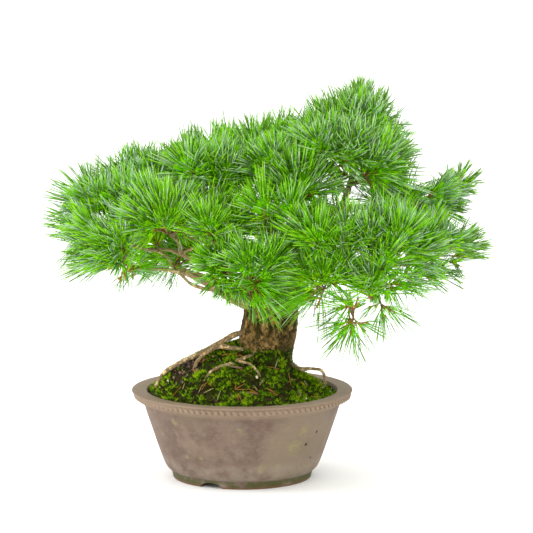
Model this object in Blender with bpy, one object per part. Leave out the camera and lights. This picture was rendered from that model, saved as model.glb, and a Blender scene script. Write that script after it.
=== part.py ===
"""Potted Japanese white pine, trained as a small tree in a round stoneware pot.

The origin lies on the ground under the trunk, in the middle of the whole plant. +X is to the viewer's
right, +Y away from the viewer and +Z up. Metres throughout. The pot holds a mound of mossy soil, the trunk
stands on it, boughs leave the trunk, and each bough ends in one mass of needle sprays.
"""
import math
import random

import bmesh
import bpy
from mathutils import Vector

# Fit between neighbouring solids
GAP = 0.0003
CUT = 0.00035

# Pot: centre and turned section, as radius and height
POT_CENTRE = Vector((-0.0248, 0.0, 0.0))
POT_SIDES = 48
RIM_RADIUS = 0.110
RIM_HEIGHT = 0.0865
MOUTH_RADIUS = 0.0956
MOUTH_HEIGHT = 0.089
BODY_TOP_RADIUS = 0.098
BODY_TOP_HEIGHT = 0.0735
BODY_BASE_RADIUS = 0.0795
FOOT_RADIUS = 0.0712
FOOT_INNER_RADIUS = 0.060
FOOT_HEIGHT = 0.0078
FLOOR_TOP = 0.0145
FLOOR_UNDER = 0.006
WALL = 0.009
BASE_EXTRA_WALL = 0.003
DRAIN_RADIUS = 0.011
LIP_DEPTH = 0.0095
LIP_ROUND = 0.0007
LIP_BAND_TOP = 0.0025
LIP_BAND_FOOT = 0.0055
INNER_CHAMFER = 0.004

# Arched notches in the foot ring, which let water out
NOTCH_COUNT = 3
NOTCH_TURN = math.radians(243.5)
NOTCH_WIDTH = 0.026
NOTCH_HEIGHT = 0.0055
NOTCH_OVERCUT = 0.006

# Mossy soil: a low dome over the mouth of the pot
SOIL_SIDES = 32
SOIL_CLEARANCE = 0.0009
SOIL_EDGE_HEIGHT = 0.0845
DOME_RISE = 0.052
DOME_POWER = 1.6
DOME_RINGS = 5

# Trunk: centre line and radius, from the flat cut at the soil to the tip
GROUND = 0.117
TRUNK_SIDES = 12
TRUNK_LINE = (
    (-0.001, 0.000, GROUND, 0.0305), (-0.001, 0.000, 0.128, 0.0285), (0.0015, 0.000, 0.154, 0.0272),
    (0.0055, 0.000, 0.176, 0.0250), (0.0145, 0.002, 0.199, 0.0205), (0.0205, 0.004, 0.221, 0.0165),
    (0.0265, 0.005, 0.243, 0.0125), (0.0365, 0.005, 0.259, 0.0095), (0.0510, 0.004, 0.267, 0.0072),
    (0.0660, 0.002, 0.269, 0.0058), (0.0760, 0.000, 0.275, 0.0050), (0.0800, 0.000, 0.287, 0.0045),
    (0.0850, 0.000, 0.302, 0.0040), (0.0905, 0.000, 0.320, 0.0033), (0.0925, 0.000, 0.333, 0.0026),
)
FLARE_HEIGHT = 0.020
FLARE_DEPTH = 0.10
FLARE_LOBES = 5
TRUNK_RIPPLE = 0.03
RIPPLE_LOBES = 3
BARK_CREASE = math.radians(50)

# Boughs: the limb each grows from, its radius at both ends, and the places it passes through
BOUGH_SIDES = 6
SLIM = 0.0050
BOUGH_TAPER = 1.7
LIMB_STEPS = 9
BOUGHS = {
    "bough_left_low": ("trunk", 0.0125, 0.0018, (
        (-0.003, -0.002, 0.173), (-0.029, -0.004, 0.180), (-0.053, -0.008, 0.194),
        (-0.078, -0.012, 0.207), (-0.103, -0.018, 0.213), (-0.125, -0.022, 0.215))),
    "bough_left_high": ("trunk", 0.0085, 0.0018, (
        (0.006, 0.004, 0.187), (-0.027, 0.006, 0.201), (-0.052, 0.006, 0.209), (-0.077, 0.004, 0.221),
        (-0.097, 0.004, 0.229), (-0.120, 0.008, 0.229), (-0.135, 0.010, 0.234))),
    "bough_left_front": ("bough_left_high", 0.0024, 0.0016, (
        (-0.086, 0.003, 0.226), (-0.087, -0.010, 0.238), (-0.092, -0.024, 0.246))),
    "bough_left_top": ("trunk", 0.0060, 0.0018, (
        (0.020, 0.006, 0.225), (-0.027, 0.014, 0.232), (-0.062, 0.018, 0.236),
        (-0.082, 0.022, 0.245), (-0.102, 0.028, 0.262))),
    "bough_left_back": ("trunk", 0.0065, 0.0018, (
        (0.004, 0.008, 0.180), (-0.032, 0.030, 0.188), (-0.067, 0.048, 0.197), (-0.090, 0.058, 0.203))),
    "bough_centre_left": ("trunk", 0.0050, 0.0018, (
        (0.009, -0.005, 0.194), (-0.014, -0.028, 0.210), (-0.031, -0.039, 0.221))),
    "bough_upper_left": ("trunk", 0.0060, 0.0020, (
        (0.024, 0.005, 0.236), (-0.004, 0.000, 0.252), (-0.031, -0.002, 0.265), (-0.047, -0.003, 0.273))),
    "bough_upper_left_back": ("trunk", 0.0055, 0.0018, (
        (0.023, 0.008, 0.229), (-0.005, 0.035, 0.250), (-0.035, 0.060, 0.265), (-0.051, 0.072, 0.271))),
    "bough_front": ("trunk", 0.0055, 0.0020, (
        (0.007, -0.005, 0.180), (-0.002, -0.035, 0.192), (-0.007, -0.056, 0.202))),
    "bough_centre": ("trunk", 0.0045, 0.0018, (
        (0.022, 0.000, 0.231), (0.021, -0.022, 0.237), (0.019, -0.040, 0.242))),
    "bough_upper_centre": ("trunk", 0.0045, 0.0020, (
        (0.031, 0.005, 0.253), (0.026, -0.008, 0.264), (0.026, -0.014, 0.275))),
    "bough_upper_centre_back": ("trunk", 0.0045, 0.0018, (
        (0.036, 0.006, 0.257), (0.024, 0.036, 0.268), (0.015, 0.062, 0.276))),
    "bough_apex_left": ("trunk", 0.0032, 0.0017, (
        (0.080, 0.000, 0.287), (0.073, -0.010, 0.296), (0.068, -0.017, 0.304))),
    "bough_apex_right": ("trunk", 0.0034, 0.0018, (
        (0.083, 0.000, 0.296), (0.090, -0.012, 0.299), (0.096, -0.020, 0.303))),
    "bough_apex_back": ("trunk", 0.0032, 0.0017, (
        (0.086, 0.000, 0.306), (0.085, 0.028, 0.312), (0.083, 0.048, 0.318))),
    "bough_right_high": ("trunk", 0.0042, 0.0018, (
        (0.072, 0.001, 0.272), (0.094, 0.010, 0.271), (0.114, 0.013, 0.275), (0.132, 0.015, 0.275))),
    "bough_right_low": ("trunk", 0.0085, 0.0020, (
        (0.021, 0.002, 0.222), (0.063, -0.004, 0.221), (0.103, -0.012, 0.219),
        (0.138, -0.018, 0.218), (0.153, -0.020, 0.221))),
    "bough_front_right": ("bough_right_low", 0.0042, 0.0018, (
        (0.076, -0.007, 0.2205), (0.094, -0.038, 0.218), (0.108, -0.058, 0.219))),
    "bough_front_mid": ("trunk", 0.0055, 0.0018, (
        (0.017, -0.004, 0.207), (0.038, -0.038, 0.211), (0.055, -0.056, 0.212))),
    "bough_droop_left": ("bough_front_mid", 0.0024, 0.0016, (
        (0.047, -0.047, 0.211), (0.067, -0.051, 0.203), (0.080, -0.054, 0.191))),
    "bough_droop_right": ("bough_right_low", 0.0026, 0.0016, (
        (0.098, -0.011, 0.219), (0.105, -0.027, 0.206), (0.110, -0.038, 0.193))),
    "bough_right_back": ("trunk", 0.0055, 0.0018, (
        (0.024, 0.005, 0.235), (0.062, 0.035, 0.238), (0.103, 0.062, 0.242), (0.122, 0.074, 0.245))),
    "bough_right_low_back": ("trunk", 0.0060, 0.0018, (
        (0.017, 0.006, 0.204), (0.047, 0.042, 0.207), (0.068, 0.070, 0.207))),
    "bough_back": ("trunk", 0.0065, 0.0018, (
        (0.010, 0.006, 0.190), (-0.005, 0.048, 0.198), (-0.014, 0.072, 0.203))),
}

# Surface roots: radius at both ends and the places each passes through, partly sunk in the moss
ROOT_SIDES = 6
ROOTS = {
    "root_left": (0.0036, 0.0020, (
        (-0.018, -0.008, 0.147), (-0.036, -0.014, 0.145), (-0.051, -0.020, 0.136),
        (-0.071, -0.024, 0.126), (-0.095, -0.028, 0.113), (-0.107, -0.030, 0.104))),
    "root_left_front": (0.0028, 0.0016, (
        (-0.018, -0.012, 0.138), (-0.034, -0.022, 0.1335), (-0.054, -0.034, 0.124), (-0.072, -0.044, 0.112))),
    "root_front_left": (0.0026, 0.0015, (
        (-0.014, -0.022, 0.132), (-0.030, -0.044, 0.122), (-0.050, -0.056, 0.111))),
    "root_front": (0.0022, 0.0012, (
        (-0.008, -0.024, 0.128), (-0.014, -0.048, 0.1175), (-0.010, -0.062, 0.106))),
    "root_right": (0.0030, 0.0015, (
        (0.020, -0.004, 0.124), (0.036, -0.008, 0.1185), (0.052, -0.012, 0.111), (0.063, -0.014, 0.103))),
    "root_back": (0.0034, 0.0018, (
        (0.004, 0.018, 0.132), (0.006, 0.042, 0.124), (-0.004, 0.064, 0.111), (-0.018, 0.078, 0.098))),
}

# Masses of needles: the limb that carries each, the hub its twigs spread from, how far they spread,
# the way the whole mass leans, and how many shoots it has
REACH = Vector((0.2295, 0.1515, 0.4065))
SHOOT_APART = 0.020
SHOOT_ROOM = 0.006
SHOOT_LIFT = 0.35
TOP_RISE = 0.9
RISE_SPAN = 1.2
TRIALS = 60
LEAN_LIMIT = -0.25
NEEDLE = 0.050
MASSES = {
    "needles_left_high": (
        "bough_left_high", (-0.152, 0.014, 0.252), (0.032, 0.046, 0.022), (-0.5, 0.2, 0.2), 7),
    "needles_left_low": (
        "bough_left_low", (-0.146, -0.028, 0.222), (0.034, 0.028, 0.024), (-0.7, -0.2, -0.1), 7),
    "needles_left_top": (
        "bough_left_top", (-0.112, 0.030, 0.276), (0.036, 0.030, 0.024), (-0.2, 0.2, 0.5), 6),
    "needles_left_front": (
        "bough_left_front", (-0.096, -0.034, 0.251), (0.034, 0.032, 0.016), (0.0, -0.6, 0.3), 6),
    "needles_left_back": (
        "bough_left_back", (-0.102, 0.060, 0.207), (0.038, 0.034, 0.022), (-0.5, 0.5, -0.1), 5),
    "needles_centre_left": (
        "bough_centre_left", (-0.044, -0.050, 0.230), (0.034, 0.036, 0.026), (-0.1, -0.6, 0.2), 7),
    "needles_upper_left": (
        "bough_upper_left", (-0.056, -0.006, 0.281), (0.040, 0.038, 0.034), (-0.1, -0.2, 0.6), 7),
    "needles_upper_left_back": (
        "bough_upper_left_back", (-0.058, 0.072, 0.274), (0.042, 0.032, 0.028), (-0.3, 0.5, 0.4), 5),
    "needles_front": (
        "bough_front", (-0.008, -0.070, 0.206), (0.038, 0.028, 0.022), (0.0, -0.7, 0.0), 7),
    "needles_centre": (
        "bough_centre", (0.019, -0.055, 0.247), (0.034, 0.034, 0.022), (0.0, -0.6, 0.4), 7),
    "needles_upper_centre": (
        "bough_upper_centre", (0.018, -0.020, 0.287), (0.042, 0.034, 0.034), (0.0, -0.3, 0.6), 8),
    "needles_upper_centre_back": (
        "bough_upper_centre_back", (0.011, 0.066, 0.280), (0.038, 0.034, 0.034), (0.0, 0.5, 0.5), 5),
    "needles_apex": (
        "trunk", (0.093, 0.000, 0.348), (0.030, 0.032, 0.011), (0.0, 0.0, 0.7), 6),
    "needles_apex_left": (
        "bough_apex_left", (0.061, -0.025, 0.313), (0.032, 0.036, 0.020), (-0.3, -0.5, 0.3), 7),
    "needles_apex_right": (
        "bough_apex_right", (0.101, -0.028, 0.306), (0.024, 0.032, 0.018), (0.5, -0.4, 0.3), 6),
    "needles_apex_back": (
        "bough_apex_back", (0.081, 0.054, 0.320), (0.034, 0.030, 0.022), (0.1, 0.6, 0.3), 5),
    "needles_right_high": (
        "bough_right_high", (0.144, 0.014, 0.273), (0.032, 0.040, 0.016), (0.6, 0.1, 0.3), 7),
    "needles_right_low": (
        "bough_right_low", (0.164, -0.022, 0.225), (0.028, 0.036, 0.018), (0.7, -0.1, 0.0), 6),
    "needles_front_right": (
        "bough_front_right", (0.118, -0.072, 0.221), (0.038, 0.030, 0.028), (0.2, -0.6, 0.3), 8),
    "needles_front_mid": (
        "bough_front_mid", (0.060, -0.070, 0.217), (0.038, 0.030, 0.030), (-0.1, -0.7, 0.2), 8),
    "needles_droop_left": (
        "bough_droop_left", (0.082, -0.056, 0.182), (0.014, 0.014, 0.012), (0.0, -0.1, -0.9), 2),
    "needles_droop_right": (
        "bough_droop_right", (0.112, -0.043, 0.184), (0.014, 0.012, 0.010), (0.4, -0.2, -0.8), 2),
    "needles_right_back": (
        "bough_right_back", (0.136, 0.076, 0.245), (0.042, 0.034, 0.026), (0.5, 0.5, 0.2), 6),
    "needles_right_low_back": (
        "bough_right_low_back", (0.078, 0.074, 0.207), (0.040, 0.034, 0.024), (0.2, 0.6, 0.0), 5),
    "needles_back": (
        "bough_back", (-0.019, 0.076, 0.205), (0.040, 0.034, 0.024), (-0.1, 0.6, 0.0), 5),
}

# Leading shoots, which set the outline: where each ends, and where its middle needle reaches
LEADERS = {
    "needles_left_high": (
        ((-0.166, 0.015, 0.267), (-0.216, 0.025, 0.292)), ((-0.153, 0.008, 0.270), (-0.162, 0.000, 0.318))),
    "needles_left_low": (
        ((-0.178, -0.034, 0.256), (-0.226, -0.046, 0.252)),
        ((-0.160, -0.047, 0.226), (-0.208, -0.060, 0.226)),
        ((-0.138, -0.036, 0.208), (-0.143, -0.045, 0.183))),
    "needles_left_top": (
        ((-0.111, 0.030, 0.294), (-0.117, 0.040, 0.338)), ((-0.135, 0.034, 0.282), (-0.150, 0.044, 0.324))),
    "needles_left_front": (((-0.099, -0.056, 0.256), (-0.110, -0.090, 0.298)),),
    "needles_centre_left": (
        ((-0.040, -0.078, 0.222), (-0.043, -0.122, 0.244)),
        ((-0.054, -0.056, 0.248), (-0.034, -0.080, 0.286))),
    "needles_upper_left": (
        ((-0.055, -0.008, 0.311), (-0.053, -0.012, 0.359)),
        ((-0.082, -0.002, 0.300), (-0.092, 0.002, 0.347))),
    "needles_front": (((-0.013, -0.095, 0.205), (-0.015, -0.144, 0.195)),),
    "needles_centre": (
        ((-0.001, -0.070, 0.256), (-0.006, -0.104, 0.291)), ((0.041, -0.068, 0.252), (0.049, -0.100, 0.287))),
    "needles_upper_centre": (
        ((0.031, -0.040, 0.292), (0.033, -0.062, 0.337)), ((-0.020, -0.012, 0.311), (-0.022, -0.014, 0.360)),
        ((0.011, -0.008, 0.317), (0.007, -0.006, 0.366))),
    "needles_apex": (
        ((0.097, 0.000, 0.362), (0.099, 0.000, 0.406)), ((0.070, -0.003, 0.350), (0.042, 0.000, 0.383))),
    "needles_apex_right": (
        ((0.106, -0.040, 0.315), (0.128, -0.058, 0.354)), ((0.116, -0.030, 0.308), (0.158, -0.032, 0.326))),
    "needles_right_high": (
        ((0.172, 0.014, 0.276), (0.216, 0.015, 0.295)), ((0.166, 0.022, 0.284), (0.190, 0.030, 0.316)),
        ((0.132, -0.012, 0.280), (0.136, -0.038, 0.318))),
    "needles_right_low": (
        ((0.184, -0.020, 0.232), (0.226, -0.020, 0.238)), ((0.156, -0.050, 0.212), (0.188, -0.078, 0.203))),
    "needles_front_right": (
        ((0.119, -0.094, 0.210), (0.125, -0.141, 0.206)), ((0.124, -0.076, 0.238), (0.144, -0.096, 0.278))),
    "needles_front_mid": (
        ((0.073, -0.090, 0.214), (0.077, -0.137, 0.224)), ((0.044, -0.076, 0.236), (0.030, -0.104, 0.272))),
    "needles_droop_left": (((0.080, -0.058, 0.171), (0.084, -0.064, 0.124)),),
    "needles_droop_right": (((0.114, -0.045, 0.177), (0.128, -0.060, 0.138)),),
}

# Spray of needles: a slim core with needles drawn out of its faces
SPRAY_RADII = (0.0016, 0.0015, 0.0015, 0.0045, 0.0040)
SPRAY_LENGTH = 0.010
SPRAY_ROOM = 0.004
TWIG_SAG = 0.18
LEADER_SIDES = 5
SIDE_SIDES = 4
NEEDLE_HALF_WIDTH = 0.0022
OUTER_TILT = math.radians(66)
INNER_TILT = math.radians(35)
STEM_SIDES = 4
STEM_START = 0.006
STEM_RADII = (0.0018, 0.0016)
NEEDLE_SHARES = (1.0, 0.8, 0.6, 0.45)
NEEDLE_WOBBLE = 0.10
NEEDLE_TURN_WOBBLE = 0.15
GOLDEN_TURN = math.radians(137.5)


def clear_scene():
    for item in list(bpy.data.objects):
        bpy.data.objects.remove(item, do_unlink=True)


def material(name, colour, roughness):
    paint = bpy.data.materials.new(name)
    paint.use_nodes = True
    shader = paint.node_tree.nodes["Principled BSDF"]
    shader.inputs["Base Color"].default_value = (*colour, 1.0)
    shader.inputs["Roughness"].default_value = roughness
    shader.inputs["Metallic"].default_value = 0.0
    paint.diffuse_color = (*colour, 1.0)
    return paint


def new_object(name, mesh, paint=None, smooth=None):
    thing = bpy.data.objects.new(name, mesh)
    bpy.context.scene.collection.objects.link(thing)
    if paint:
        mesh.materials.append(paint)
    if smooth:
        mesh.shade_smooth()
        mesh.set_sharp_from_angle(angle=smooth)
    return thing


def mesh_of(name, points, faces):
    mesh = bpy.data.meshes.new(name)
    mesh.from_pydata([tuple(point) for point in points], [], faces)
    shape = bmesh.new()
    shape.from_mesh(mesh)
    bmesh.ops.recalc_face_normals(shape, faces=shape.faces)
    shape.to_mesh(mesh)
    shape.free()
    return mesh


def smooth_line(places, steps):
    """Points on a smooth curve that passes through all the places."""
    knots = [Vector(place) for place in places]
    before = knots[0] * 2 - knots[1]
    after = knots[-1] * 2 - knots[-2]
    knots = [before, *knots, after]
    line = []
    for index in range(1, len(knots) - 2):
        a, b, c, d = knots[index - 1:index + 3]
        for step in range(steps):
            t = step / steps
            line.append(0.5 * (2 * b + (c - a) * t + (2 * a - 5 * b + 4 * c - d) * t * t
                               + (3 * b - a - 3 * c + d) * t ** 3))
    line.append(knots[-2])
    return line


def tangents(line):
    ways = []
    for index in range(len(line)):
        ahead = line[min(index + 1, len(line) - 1)]
        behind = line[max(index - 1, 0)]
        ways.append((ahead - behind).normalized())
    return ways


def band(low, high):
    """Triangles that join a ring of points to another ring, which may have another number of points."""
    faces = []
    i = j = 0
    while i < len(low) or j < len(high):
        if j == len(high) or (i < len(low) and (i + 1) * len(high) <= (j + 1) * len(low)):
            faces.append((low[i], low[(i + 1) % len(low)], high[j % len(high)]))
            i += 1
        else:
            faces.append((low[i % len(low)], high[(j + 1) % len(high)], high[j]))
            j += 1
    return faces


def tube(name, line, radii, sides, first_way=None, wave=None):
    """A closed limb with flat ends. The wave function varies its radius round each ring."""
    ways = tangents(line)
    if first_way:
        ways[0] = first_way
    points = []
    across = ways[0].orthogonal().normalized()
    for ring, (centre, way, radius) in enumerate(zip(line, ways, radii)):
        across = (across - way * across.dot(way)).normalized()
        beside = way.cross(across)
        for side in range(sides):
            angle = math.tau * side / sides
            reach = radius * (wave(ring, angle) if wave else 1.0)
            points.append(centre + across * (math.cos(angle) * reach) + beside * (math.sin(angle) * reach))
    rings = [list(range(low, low + sides)) for low in range(0, len(points), sides)]
    faces = [tuple(reversed(rings[0])), tuple(rings[-1])]
    for low, high in zip(rings, rings[1:]):
        faces += band(low, high)
    return mesh_of(name, points, faces)


def turned(name, section, sides, centre):
    """A closed solid turned from a section of (radius, height) pairs; a radius of 0 is a pole."""
    shape = bmesh.new()
    rows = [shape.verts.new((centre.x + radius, centre.y, height)) for radius, height in section]
    edges = [shape.edges.new((rows[index], rows[(index + 1) % len(rows)])) for index in range(len(rows))]
    on_axis = all(radius > 0 for radius, height in section)
    if not on_axis:
        edges = edges[:-1]
    bmesh.ops.spin(shape, geom=edges + rows, cent=centre, axis=(0, 0, 1), steps=sides, angle=math.tau)
    bmesh.ops.remove_doubles(shape, verts=shape.verts, dist=0.00001)
    bmesh.ops.recalc_face_normals(shape, faces=shape.faces)
    mesh = bpy.data.meshes.new(name)
    shape.to_mesh(mesh)
    shape.free()
    return mesh


def boolean(thing, operation, cutter, solver="EXACT"):
    """Apply one Boolean with an object or a collection, and leave the result in the object's mesh."""
    modifier = thing.modifiers.new(operation.lower(), "BOOLEAN")
    modifier.operation = operation
    modifier.solver = solver
    if isinstance(cutter, bpy.types.Collection):
        modifier.operand_type = "COLLECTION"
        modifier.collection = cutter
    else:
        modifier.object = cutter
    graph = bpy.context.evaluated_depsgraph_get()
    joined = bpy.data.meshes.new_from_object(thing.evaluated_get(graph))
    thing.modifiers.clear()
    thing.data = joined


def remove(things):
    for thing in list(things):
        bpy.data.objects.remove(thing, do_unlink=True)


def tidy_body(thing):
    """Close pinholes, drop loose scraps, and keep the one body that is left."""
    shape = bmesh.new()
    shape.from_mesh(thing.data)
    bmesh.ops.dissolve_degenerate(shape, edges=shape.edges, dist=0.0000005)
    unseen = set(shape.verts)
    islands = []
    while unseen:
        island = {unseen.pop()}
        queue = list(island)
        while queue:
            for edge in queue.pop().link_edges:
                for vert in edge.verts:
                    if vert in unseen:
                        unseen.discard(vert)
                        island.add(vert)
                        queue.append(vert)
        islands.append(island)
    islands.sort(key=len)
    scraps = [vert for island in islands[:-1] for vert in island]
    bmesh.ops.delete(shape, geom=scraps, context="VERTS")
    bmesh.ops.triangulate(shape, faces=shape.faces)
    shape.to_mesh(thing.data)
    shape.free()


def segment_distance(a, b, c, d):
    """Least distance between the straight lines a-b and c-d."""
    u = b - a
    v = d - c
    w = a - c
    uu, uv, vv = u.dot(u), u.dot(v), v.dot(v)
    uw, vw = u.dot(w), v.dot(w)
    span = uu * vv - uv * uv
    s = 0.0 if span < 1e-14 else min(1.0, max(0.0, (uv * vw - vv * uw) / span))
    t = min(1.0, max(0.0, (uv * s + vw) / vv))
    s = min(1.0, max(0.0, (uv * t - uw) / uu))
    return (w + u * s - v * t).length


# Pot

def pot_section():
    inner_top = BODY_TOP_RADIUS - WALL
    inner_base = BODY_BASE_RADIUS - WALL - BASE_EXTRA_WALL
    return (
        (DRAIN_RADIUS, FLOOR_TOP), (DRAIN_RADIUS, FLOOR_UNDER), (FOOT_INNER_RADIUS, FLOOR_UNDER),
        (FOOT_INNER_RADIUS + 0.0005, 0.0), (FOOT_RADIUS - 0.0012, 0.0), (FOOT_RADIUS, FOOT_HEIGHT),
        (FOOT_RADIUS + 0.0018, FOOT_HEIGHT), (BODY_BASE_RADIUS - 0.0025, FOOT_HEIGHT + 0.0027),
        (BODY_BASE_RADIUS, FOOT_HEIGHT + 0.0072), (BODY_TOP_RADIUS, BODY_TOP_HEIGHT),
        (RIM_RADIUS - 0.0046, RIM_HEIGHT - LIP_DEPTH), (RIM_RADIUS - LIP_ROUND, RIM_HEIGHT - LIP_BAND_FOOT),
        (RIM_RADIUS, RIM_HEIGHT - LIP_BAND_TOP), (RIM_RADIUS - LIP_ROUND, RIM_HEIGHT),
        (MOUTH_RADIUS + 0.0008, MOUTH_HEIGHT), (MOUTH_RADIUS, MOUTH_HEIGHT - 0.0006),
        (inner_top + INNER_CHAMFER, BODY_TOP_HEIGHT + INNER_CHAMFER),
        (inner_top - 0.001, BODY_TOP_HEIGHT - INNER_CHAMFER),
        (inner_base, FLOOR_TOP + 0.003), (inner_base - INNER_CHAMFER, FLOOR_TOP),
    )


def make_pot():
    paint = material("stoneware", (0.235, 0.175, 0.140), 0.72)
    pot = new_object("pot", turned("pot", pot_section(), POT_SIDES, POT_CENTRE), paint)
    for index in range(NOTCH_COUNT):
        turn = NOTCH_TURN + math.tau * index / NOTCH_COUNT
        out = Vector((math.cos(turn), math.sin(turn), 0.0))
        along = Vector((-out.y, out.x, 0.0))
        outline = ((-0.5, -0.4), (0.5, -0.4), (0.5, 0.45), (0.3, 1.0), (-0.3, 1.0), (-0.5, 0.45))
        points = []
        for reach in (FOOT_INNER_RADIUS - NOTCH_OVERCUT, FOOT_RADIUS + NOTCH_OVERCUT):
            for across, height in outline:
                points.append(POT_CENTRE + out * reach + along * (across * NOTCH_WIDTH)
                              + Vector((0, 0, height * NOTCH_HEIGHT)))
        count = len(outline)
        faces = [tuple(range(count)), tuple(range(count, 2 * count))]
        for corner in range(count):
            following = (corner + 1) % count
            faces.append((corner, following, count + following, count + corner))
        notch = new_object("notch", mesh_of("notch", points, faces))
        boolean(pot, "DIFFERENCE", notch)
        remove([notch])
    tidy_body(pot)
    pot.data.shade_smooth()
    pot.data.set_sharp_from_angle(angle=math.radians(32))


# Soil

def soil_height(radius):
    return SOIL_EDGE_HEIGHT + DOME_RISE * (1 - (radius / MOUTH_RADIUS) ** DOME_POWER)


def soil_mesh(name, lift):
    """The root ball inside the pot with the mossy dome on top, raised by lift."""
    inner_top = BODY_TOP_RADIUS - WALL - SOIL_CLEARANCE
    inner_base = BODY_BASE_RADIUS - WALL - BASE_EXTRA_WALL - SOIL_CLEARANCE
    edge = MOUTH_RADIUS - 2 * SOIL_CLEARANCE
    section = [(0.0, FLOOR_TOP + GAP), (inner_base - INNER_CHAMFER, FLOOR_TOP + GAP),
               (inner_base, FLOOR_TOP + 0.0035), (inner_top - 0.001, BODY_TOP_HEIGHT - INNER_CHAMFER),
               (inner_top + INNER_CHAMFER, BODY_TOP_HEIGHT + INNER_CHAMFER)]
    for ring in range(DOME_RINGS + 1):
        radius = edge * (1 - ring / DOME_RINGS)
        section.append((radius, soil_height(radius) + lift))
    return turned(name, section, SOIL_SIDES, POT_CENTRE)


def make_soil():
    paint = material("mossy_soil", (0.090, 0.105, 0.022), 0.95)
    soil = new_object("soil", soil_mesh("soil", 0.0), paint)
    cutter = new_object("cutter", trunk_mesh("cutter", CUT))
    boolean(soil, "DIFFERENCE", cutter)
    remove([cutter])
    tidy_body(soil)
    soil.data.shade_smooth()
    soil.data.set_sharp_from_angle(angle=math.radians(40))


# Trunk, boughs and roots

def trunk_line():
    return smooth_line([place[:3] for place in TRUNK_LINE], 1)


def trunk_radii():
    return [place[3] for place in TRUNK_LINE]


def trunk_mesh(name, grow):
    line = trunk_line()
    line[0] = line[0] - Vector((0, 0, grow))

    def flare(ring, angle):
        fade = max(0.0, 1 - (line[ring].z - GROUND) / FLARE_HEIGHT)
        ripple = TRUNK_RIPPLE * math.cos(RIPPLE_LOBES * angle + ring)
        return 1 + FLARE_DEPTH * fade * math.cos(FLARE_LOBES * angle) + ripple

    radii = [radius + grow for radius in trunk_radii()]
    return tube(name, line, radii, TRUNK_SIDES, first_way=Vector((0, 0, 1)), wave=flare)


def limb_line(places):
    return smooth_line(places, LIMB_STEPS // len(places))


def limb_radii(line, thick, thin, power=BOUGH_TAPER):
    last = len(line) - 1
    return [thin + (thick - thin) * (1 - index / last) ** power for index in range(last + 1)]


def limb_mesh(name, grow=0.0):
    """The mesh of the trunk or of a bough, thickened by grow."""
    if name == "trunk":
        return trunk_mesh(name, grow)
    parent, thick, thin, places = BOUGHS[name]
    line = limb_line(places)
    radii = [radius + grow for radius in limb_radii(line, thick, thin)]
    return tube(name, line, radii, BOUGH_SIDES if thick > SLIM else BOUGH_SIDES - 1)


def make_limbs(bark):
    new_object("trunk", limb_mesh("trunk"), bark, BARK_CREASE)
    for name, (parent, thick, thin, places) in BOUGHS.items():
        bough = new_object(name, limb_mesh(name), bark)
        cutter = new_object("cutter", limb_mesh(parent, CUT))
        boolean(bough, "DIFFERENCE", cutter)
        remove([cutter])
        tidy_body(bough)
        bough.data.shade_smooth()
        bough.data.set_sharp_from_angle(angle=BARK_CREASE)


def make_roots(bark):
    cutters = [new_object("cutter", mesh) for mesh in (trunk_mesh("cutter", CUT), soil_mesh("cutter", CUT))]
    for name, (thick, thin, places) in ROOTS.items():
        line = limb_line(places)
        root = new_object(name, tube(name, line, limb_radii(line, thick, thin, 1.0), ROOT_SIDES), bark)
        for cutter in cutters:
            boolean(root, "DIFFERENCE", cutter)
        tidy_body(root)
        root.data.shade_smooth()
        root.data.set_sharp_from_angle(angle=BARK_CREASE)
    remove(cutters)


def limb_segments():
    """Every limb as short straight pieces, each with its larger radius."""
    pieces = []
    for name in ("trunk", *BOUGHS):
        if name == "trunk":
            line, radii = trunk_line(), trunk_radii()
        else:
            parent, thick, thin, places = BOUGHS[name]
            line = limb_line(places)
            radii = limb_radii(line, thick, thin)
        for index in range(len(line) - 1):
            pieces.append((line[index], line[index + 1], max(radii[index], radii[index + 1])))
    for thick, thin, places in ROOTS.values():
        line = limb_line(places)
        for index in range(len(line) - 1):
            pieces.append((line[index], line[index + 1], thick))
    return pieces


# Masses of needles

class Space:
    """The room a mass keeps to: nearer its own hub than any other hub, and clear of every limb."""

    def __init__(self, name, limbs):
        self.hub = Vector(MASSES[name][1])
        self.limbs = limbs
        self.walls = []
        own = max(MASSES[name][2])
        for other, row in MASSES.items():
            if other != name:
                way = Vector(row[1]) - self.hub
                apart = way.length
                share = (apart * apart + own * own - max(row[2]) ** 2) / (2 * apart)
                self.walls.append((way / apart, share - GAP))
        self.taken = []

    def holds(self, point, room=0.0):
        return all((point - self.hub).dot(way) < share - room for way, share in self.walls)

    def reaches(self, tip):
        """Whether a needle may end here: in the mass's own space and inside the plant's outline."""
        return self.holds(tip) and abs(tip.x) < REACH.x and abs(tip.y) < REACH.y and tip.z < REACH.z

    def clear(self, a, b, radius):
        return all(segment_distance(a, b, c, d) > radius + other + GAP for c, d, other in self.limbs)

    def free(self, a, b, room, own):
        return all(mark == own or segment_distance(a, b, c, d) > room for c, d, mark in self.taken)


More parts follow.
